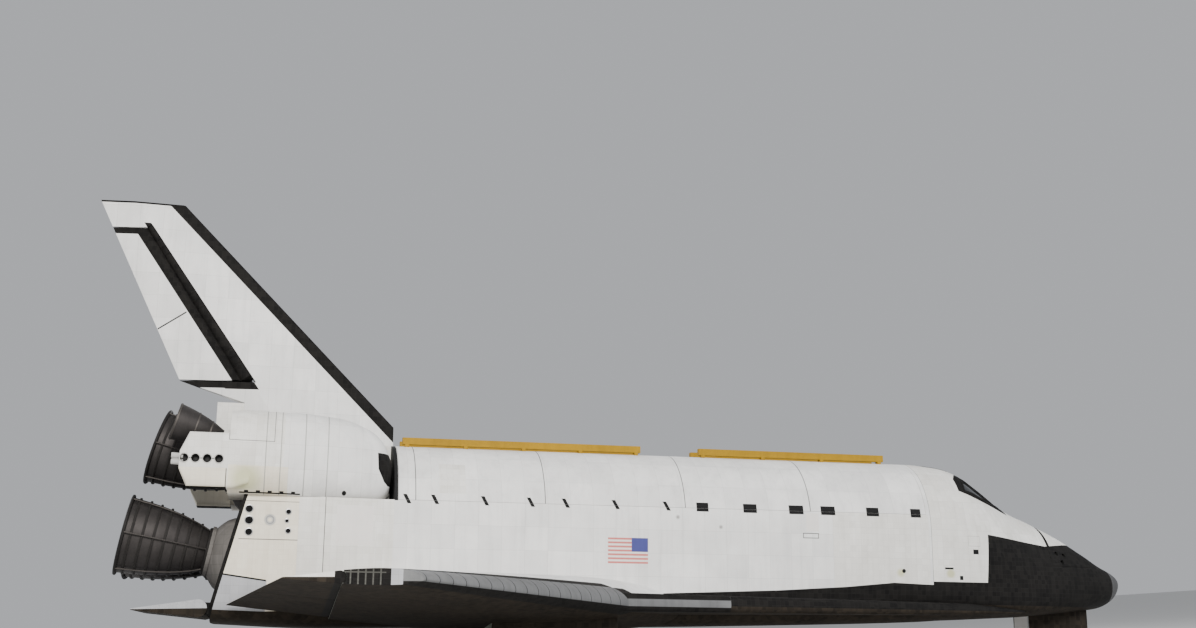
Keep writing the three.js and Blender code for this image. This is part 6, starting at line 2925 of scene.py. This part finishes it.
@dataclass
class Gear:
    """The legs, braces and wheels, laid out to starboard."""

    main_well: tuple[float, float] = (107.0, 166.0)
    nose_half: float = 20.0

    def make(self, nodes: dict[str, Object]) -> None:
        """Builds the gear and dresses its doors.

        Args:
            nodes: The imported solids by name.
        """
        paint = Painted((0.66, 0.67, 0.68), (0.4, 0.4, 0.4), roughness=0.35, wear=0.5, stain=0.5)
        enamel = Finish("leg_enamel", paint, metallic=0.25).material()
        plated = Painted((0.75, 0.76, 0.77), (0.6, 0.6, 0.6), roughness=0.16, wear=0.2, stain=0.3)
        chrome = Finish("piston_chrome", plated, metallic=1.0).material()
        black = Painted(
            (0.032, 0.031, 0.031), (0.09, 0.085, 0.08), roughness=0.82, wear=0.7, stain=0.3, grain=0.6
        )
        rubber = Finish("tyre_rubber", black).material()
        hose = Finish(
            "hose_rubber", Painted((0.02, 0.02, 0.02), (0.05, 0.05, 0.05), roughness=0.6)
        ).material()
        cast = Painted((0.50, 0.51, 0.52), (0.3, 0.3, 0.3), roughness=0.38, stain=0.7)
        alloy = Finish("wheel_alloy", cast, metallic=0.85).material()
        doors = Finish("gear_door_tiles", GROUND_LIT_BLACK_TILE, ((WHITE_CLOTH, self.door_inside()),)).material()
        x, y, z = MAIN_PLACE
        for side, hand in SIDES:
            dress(nodes[f"main_gear_door_{hand}"], doors)
            dress(nodes[f"nose_gear_door_{hand}"], doors)
            fitting = Fitting(slot="gear_paint", replaces=(f"main_gear_strut_{hand}",))
            piece(f"main_leg_{hand}", self.main_leg().on(side), [enamel], fitting)
            piston = bar((x, y, 233), (x, y, z + 4), 4.75, 40)
            piece(f"main_piston_{hand}", piston.on(side), [chrome], Fitting(slot="metal"))
            fitting = Fitting(slot="gear_paint", replaces=(f"main_gear_brace_{hand}",))
            piece(f"main_brace_{hand}", self.main_brace().on(side), [enamel], fitting)
            piece(f"main_brake_hoses_{hand}", self.hoses().on(side), [hose], Fitting(slot="tyre"))
            body = f"main_wheels_{hand}"
            fitting = Fitting(body, "metal", (f"main_wheel_hubs_{hand}",))
            piece(f"main_rims_{hand}", MAIN_WHEEL.hubs(MAIN_PLACE).on(side), [alloy], fitting)
            for which, name in ((-1, "inner"), (1, "outer")):
                fitting = Fitting(body, "tyre", (f"main_tyre_{name}_{hand}",), smooth=50)
                piece(
                    f"main_tread_{name}_{hand}",
                    MAIN_WHEEL.tyre(MAIN_PLACE, which).on(side),
                    [rubber],
                    fitting,
                )
            self.bolts(f"main_wheel_bolts_{hand}", MAIN_WHEEL, (x, side * y, z), alloy, body)
            fitting = Fitting("nose_wheels", "tyre", (f"nose_tyre_{hand}",), smooth=50)
            piece(f"nose_tread_{hand}", NOSE_WHEEL.tyre(NOSE_PLACE, 1).on(side), [rubber], fitting)
        fitting = Fitting("nose_wheels", "metal", ("nose_wheel_hubs",))
        piece("nose_rims", NOSE_WHEEL.hubs(NOSE_PLACE), [alloy], fitting)
        self.bolts("nose_wheel_bolts", NOSE_WHEEL, NOSE_PLACE, alloy, "nose_wheels")
        piece(
            "nose_leg", self.nose_leg(), [enamel], Fitting(slot="gear_paint", replaces=("nose_gear_strut",))
        )
        piece(
            "nose_brace",
            self.nose_brace(),
            [enamel],
            Fitting(slot="gear_paint", replaces=("nose_gear_brace",)),
        )
        piece(
            "nose_fork",
            self.nose_fork(),
            [chrome],
            Fitting("nose_steering", "metal", ("nose_gear_piston",)),
        )

    @staticmethod
    def hoses() -> Form:
        """Two brake hoses down the back of the main strut.

        Returns:
            The form.
        """
        x, y, _ = MAIN_PLACE
        # aft, share of the sideways offset, and height
        way = np.array(
            [
                (-8.2, 1, 296), (-8.6, 1, 262), (-8.8, 1.2, 240), (-10, 1.6, 222), (-9, 1.8, 204),
                (-4.5, 2.3, 193),
            ]
        )
        form = Form()
        for dy in (-3.5, 3.5):
            table = np.stack([x + way[:, 0], y + dy * way[:, 1], way[:, 2]], axis=1)
            t = np.linspace(0, len(way) - 1, 40)
            path = np.stack([smooth_curve(range(len(way)), table[:, k], t) for k in range(3)], axis=1)
            form.join(pipe(path, 0.75, 10))
        return form

    def door_inside(self) -> Mask:
        """The inner faces of the gear doors.

        Returns:
            The mask.
        """
        return either(
            *(where(Axis.Y, edge - 1, edge + 0.3, 0.1) for edge in (self.main_well[1], self.nose_half))
        )

    @staticmethod
    def bolts(name: str, wheel: Wheel, place: Point, finish: Material, body: str) -> None:
        """A ring of nuts on the faces of a wheel pair.

        Args:
            name: Its name.
            wheel: The wheel's sizes.
            place: Where it stands.
            finish: Its material.
            body: The body that it rides on.
        """
        x, y, z = place
        half = wheel.width / 2
        form = Form()
        for side in (-1, 1):
            face = y + side * (wheel.spread + half * 0.33)
            form.join(
                lathe(
                    [(0, -0.3), (0.7, -0.3), (0.7, 0.7), (0, 0.7)],
                    (x, face, z + wheel.rim * 0.58),
                    (0, side, 0),
                    6,
                )
            )
        Repeat(
            name, form, finish, 9, centre=place, axis=ACROSS, turn=math.radians(40)
        ).make(Fitting(body, "metal"))

    def main_leg(self) -> Form:
        """The main strut with its trunnion, collars and torque links.

        Returns:
            The form.
        """
        x, y, z = MAIN_PLACE
        low, high = self.main_well
        outside_wall = [
            (0, 78), (7.4, 78), (8.2, 75), (8.2, 70), (7.5, 67), (7.5, 30), (8.4, 27), (8.4, 4), (7.2, 0)
        ]
        form = Form().join(
            lathe([*outside_wall, (4.9, 0), (4.9, 60), (0, 60)], (x, y, 228), (0, 0, 1), 56),
            bar((x, low + 0.1, 300), (x, high - 0.1, 300), 5, 40),
            bar((x, y - 7, z), (x, y + 7, z), 5, 40),
            bar((x, y, z), (x, y, z + 10), 5.4, 40),
            bar((x - 12.5, y - 3.2, 219), (x - 12.5, y + 3.2, 219), 1.6, 20),
        )
        for start, end in (((x - 4.5, 201), (x - 12.5, 219)), ((x - 12.5, 219), (x - 6.5, 236))):
            for dy in (-1.9, 1.9):
                form.join(bar((start[0], y + dy, start[1]), (end[0], y + dy, end[1]), 1.1, 14))
        return form

    def main_brace(self) -> Form:
        """The folding brace ahead of the main strut.

        Returns:
            The form.
        """
        x, y, _ = MAIN_PLACE
        low, high = self.main_well
        start, end = np.array([x - 7.5, y, 248.5]), np.array([1085.0, y, 307])
        middle = start + (end - start) * 0.5
        form = Form().join(bar((1085, low + 0.1, 307), (1085, high - 0.1, 307), 3.5, 32))
        for dy in (-2.2, 2.2):
            form.join(bar(start + (0, dy, 0), end + (0, dy, 0), 1.3, 20))
        form.join(
            bar(middle + (0, -4, 0), middle + (0, 4, 0), 2.2, 28),
            bar(start + (0, -4, 0), start + (0, 4, 0), 2.4, 28),
            bar(start + (end - start) * 0.08, start + (end - start) * 0.46, 2.0, 24),
            bar(start + (end - start) * 0.54, start + (end - start) * 0.94, 2.0, 24),
        )
        return form

    def nose_leg(self) -> Form:
        """The nose strut with its steering collar.

        Returns:
            The form.
        """
        x = NOSE_X
        half = self.nose_half - 0.1
        collars = [
            (4.6, 0), (5.3, 1), (5.3, 10), (4.6, 12), (4.6, 50), (5.4, 52), (5.4, 60), (4.6, 62), (4.6, 64)
        ]
        lamp = [(0, -1), (2.6, -1), (2.6, 3), (0, 3)]
        return Form().join(
            lathe([(0, 0), *collars, (0, 64)], (x, 0, 262), (0, 0, 1), 48),
            bar((x, -half, 320), (x, half, 320), 3.2, 32),
            bar((x + 4, -5.6, 266), (x + 4, 5.6, 266), 1.5, 20),
            *(lathe(lamp, (x - 4.4, 0, z), (-1, 0, 0.3), 32) for z in (286, 294)),
        )

    def nose_brace(self) -> Form:
        """The brace ahead of the nose strut.

        Returns:
            The form.
        """
        half = self.nose_half - 0.1
        start, end = np.array([NOSE_X - 4.5, 0, 277.5]), np.array([318.0, 0, 323])
        form = Form().join(bar((318, -half, 322), (318, half, 322), 2.6, 28), bar(start, end, 1.8, 24))
        middle = (start + end) / 2
        form.join(bar(middle + (0, -3, 0), middle + (0, 3, 0), 2.4, 24))
        return form.join(bar(start + (0, -3.2, 0), start + (0, 3.2, 0), 2.0, 24))

    def nose_fork(self) -> Form:
        """The sliding piston, the axle's eye and the torque links, which steer together.

        Returns:
            The form.
        """
        x, _, z = NOSE_PLACE
        form = Form().join(
            bar((x, 0, 262), (x, 0, z), 3.2, 40),
            bar((x, -4.5, z), (x, 4.5, z), 3.2, 36),
            bar((x + 9, -2.2, 254), (x + 9, 2.2, 254), 1.2, 20),
        )
        for dy in (-1.4, 1.4):
            form.join(
                bar((x + 3, dy, 245), (x + 9, dy, 254), 0.9, 14),
                bar((x + 9, dy, 254), (x + 5, dy, 261.5), 0.9, 14),
            )
        return form


@dataclass
class Cabin:
    """What shows of the flight deck through the windows and the hatch."""

    deck_z: float = 408.0

    def make(self, nodes: dict[str, Object]) -> None:
        """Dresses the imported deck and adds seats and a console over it.

        Args:
            nodes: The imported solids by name.
        """
        deck = Finish("deck_paint", Painted((0.32, 0.34, 0.34), (0.5, 0.5, 0.5), roughness=0.6)).material()
        cloth = Finish(
            "seat_cloth", Painted((0.16, 0.20, 0.26), (0.25, 0.28, 0.33), roughness=0.9, grain=1.0)
        ).material()
        keys = Tiled(
            (0.10, 0.11, 0.12), (0.4, 0.42, 0.4), 3, 0.3, tone=0.8, dark=0.8, stain=0.1, roughness=0.4
        )
        lamp = Finish("panel_faces", keys).material()
        dress(nodes["flight_deck"], deck)
        z = self.deck_z
        # station, lowest and highest point of the seat; then height, and depth of the back
        seat = (
            (480.2, 18.2, 19.4), (482, 18.05, 21.2), (489, 18.05, 22), (494, 18.05, 21.4),
            (495.6, 18.2, 19.6),
        )
        back = ((23, 1.0), (27, 2.4), (40, 2.2), (45.5, 0.9))
        x0 = 495.9
        seats = Form()
        for y in (-24, 24):
            rings = []
            for x, low, high in seat:
                low, high = z + low, z + high
                rings.append([(x, y - 9.6, low), (x, y + 9.6, low), (x, y + 9.2, high), (x, y - 9.2, high)])
            seats.join(loft(rings))
            rings = []
            for h, d in back:
                front = [(x0, y - 8.6, z + h), (x0, y + 8.6, z + h)]
                rings.append([*front, (x0 - d, y + 8.2, z + h), (x0 - d, y - 8.2, z + h)])
            seats.join(loft(rings))
        piece("seat_cushions", seats, [cloth], Fitting(slot="cabin"))
        panel = Form().join(
            block((451, 451.9), (-49, 49), (z + 3, z + 21)),
            block((460.1, 461), (-48, 48), (z + 4, z + 21)),
            block((477, 509), (-8, 8), (z + 14.05, z + 15)),
        )
        piece("instrument_faces", panel, [lamp], Fitting(slot="cabin"))


# The setting.


@dataclass
class Studio:
    """A pale floor, soft lights and the camera at the photograph's angle."""

    place: tuple[float, float, float] = (1452.0, 1886.0, 245.0)
    azimuth: float = 12.82
    elevation: float = 13.23
    roll: float = -0.39
    lens: float = 42.2
    sensor: float = 36.0

    def camera(self) -> None:
        """Sets the camera."""
        turn, rise, lean = (math.radians(v) for v in (self.azimuth, self.elevation, self.roll))
        ahead = Vector((-math.sin(turn) * math.cos(rise), -math.cos(turn) * math.cos(rise), math.sin(rise)))
        right = ahead.cross(Vector((0, 0, 1))).normalized()
        up = right.cross(ahead)
        right, up = math.cos(lean) * right - math.sin(lean) * up, math.sin(lean) * right + math.cos(lean) * up
        axes = [direction(axis) for axis in (right, up, -ahead)]
        matrix = Matrix(
            [[*(axis[k] for axis in axes), to_row(self.place)[k]] for k in range(3)] + [[0, 0, 0, 1]]
        )
        data = bpy.data.cameras.new("camera")
        data.sensor_width, data.lens, data.sensor_fit = self.sensor, self.lens, "HORIZONTAL"
        data.clip_end = 1000
        camera = bpy.data.objects.new("camera", data)
        bpy.context.scene.collection.objects.link(camera)
        camera.matrix_world = matrix
        bpy.context.scene.camera = camera

    def light(self, name: str, place: Point, size: float, power: float, colour: Colour) -> None:
        """A square soft light that faces the vehicle.

        Args:
            name: Its name.
            place: Where it hangs, in row metres.
            size: Its side, in metres.
            power: Its power, in watts.
            colour: Its colour.
        """
        data = bpy.data.lights.new(name, "AREA")
        data.shape, data.size, data.energy, data.color = "SQUARE", size, power, colour
        lamp = bpy.data.objects.new(name, data)
        bpy.context.scene.collection.objects.link(lamp)
        lamp.location = place
        lamp.rotation_euler = (Vector((0, 0, 6)) - Vector(place)).to_track_quat("-Z", "Y").to_euler()

    def make(self) -> None:
        """Lays the floor and sets the lights, the backdrop's tone and the camera."""
        mesh = bpy.data.meshes.new("floor")
        half = 400.0
        mesh.from_pydata(
            [(-half, -half, 0), (half, -half, 0), (half, half, 0), (-half, half, 0)], [], [(0, 1, 2, 3)]
        )
        floor = bpy.data.objects.new("floor", mesh)
        bpy.context.scene.collection.objects.link(floor)
        paint = bpy.data.materials.new("floor_paint")
        paint.use_nodes = True
        shader = paint.node_tree.nodes["Principled BSDF"]
        shader.inputs["Base Color"].default_value = (0.62, 0.62, 0.61, 1)
        shader.inputs["Roughness"].default_value = 0.9
        mesh.materials.append(paint)
        world = bpy.context.scene.world or bpy.data.worlds.new("studio")
        bpy.context.scene.world = world
        world.use_nodes = True
        ground = world.node_tree.nodes["Background"]
        ground.inputs["Color"].default_value = (0.86, 0.88, 0.92, 1)
        ground.inputs["Strength"].default_value = 0.55
        self.light("key", (-14, -42, 26), 16, 26000, (1.0, 0.97, 0.92))
        self.light("front", (40, -26, 24), 16, 11000, (0.95, 0.97, 1.0))
        self.light("rim", (-46, 20, 30), 18, 9000, (0.95, 0.97, 1.0))
        self.light("port", (6, 46, 26), 18, 7000, (1.0, 1.0, 1.0))
        self.camera()


def main() -> None:
    """Builds the vehicle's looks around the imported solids."""
    logging.basicConfig(level=logging.INFO, format="%(message)s")
    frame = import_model()
    nodes = frame["nodes"]
    ForwardFuselage().make()
    MidFuselage().make(nodes)
    Wing().make()
    Tail().make(nodes)
    Engines().make()
    AftFuselage().make(nodes)
    Pods().make()
    Gear().make(nodes)
    Cabin().make(nodes)
    Studio().make()
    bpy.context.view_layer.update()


if __name__ == "__main__":
    main()
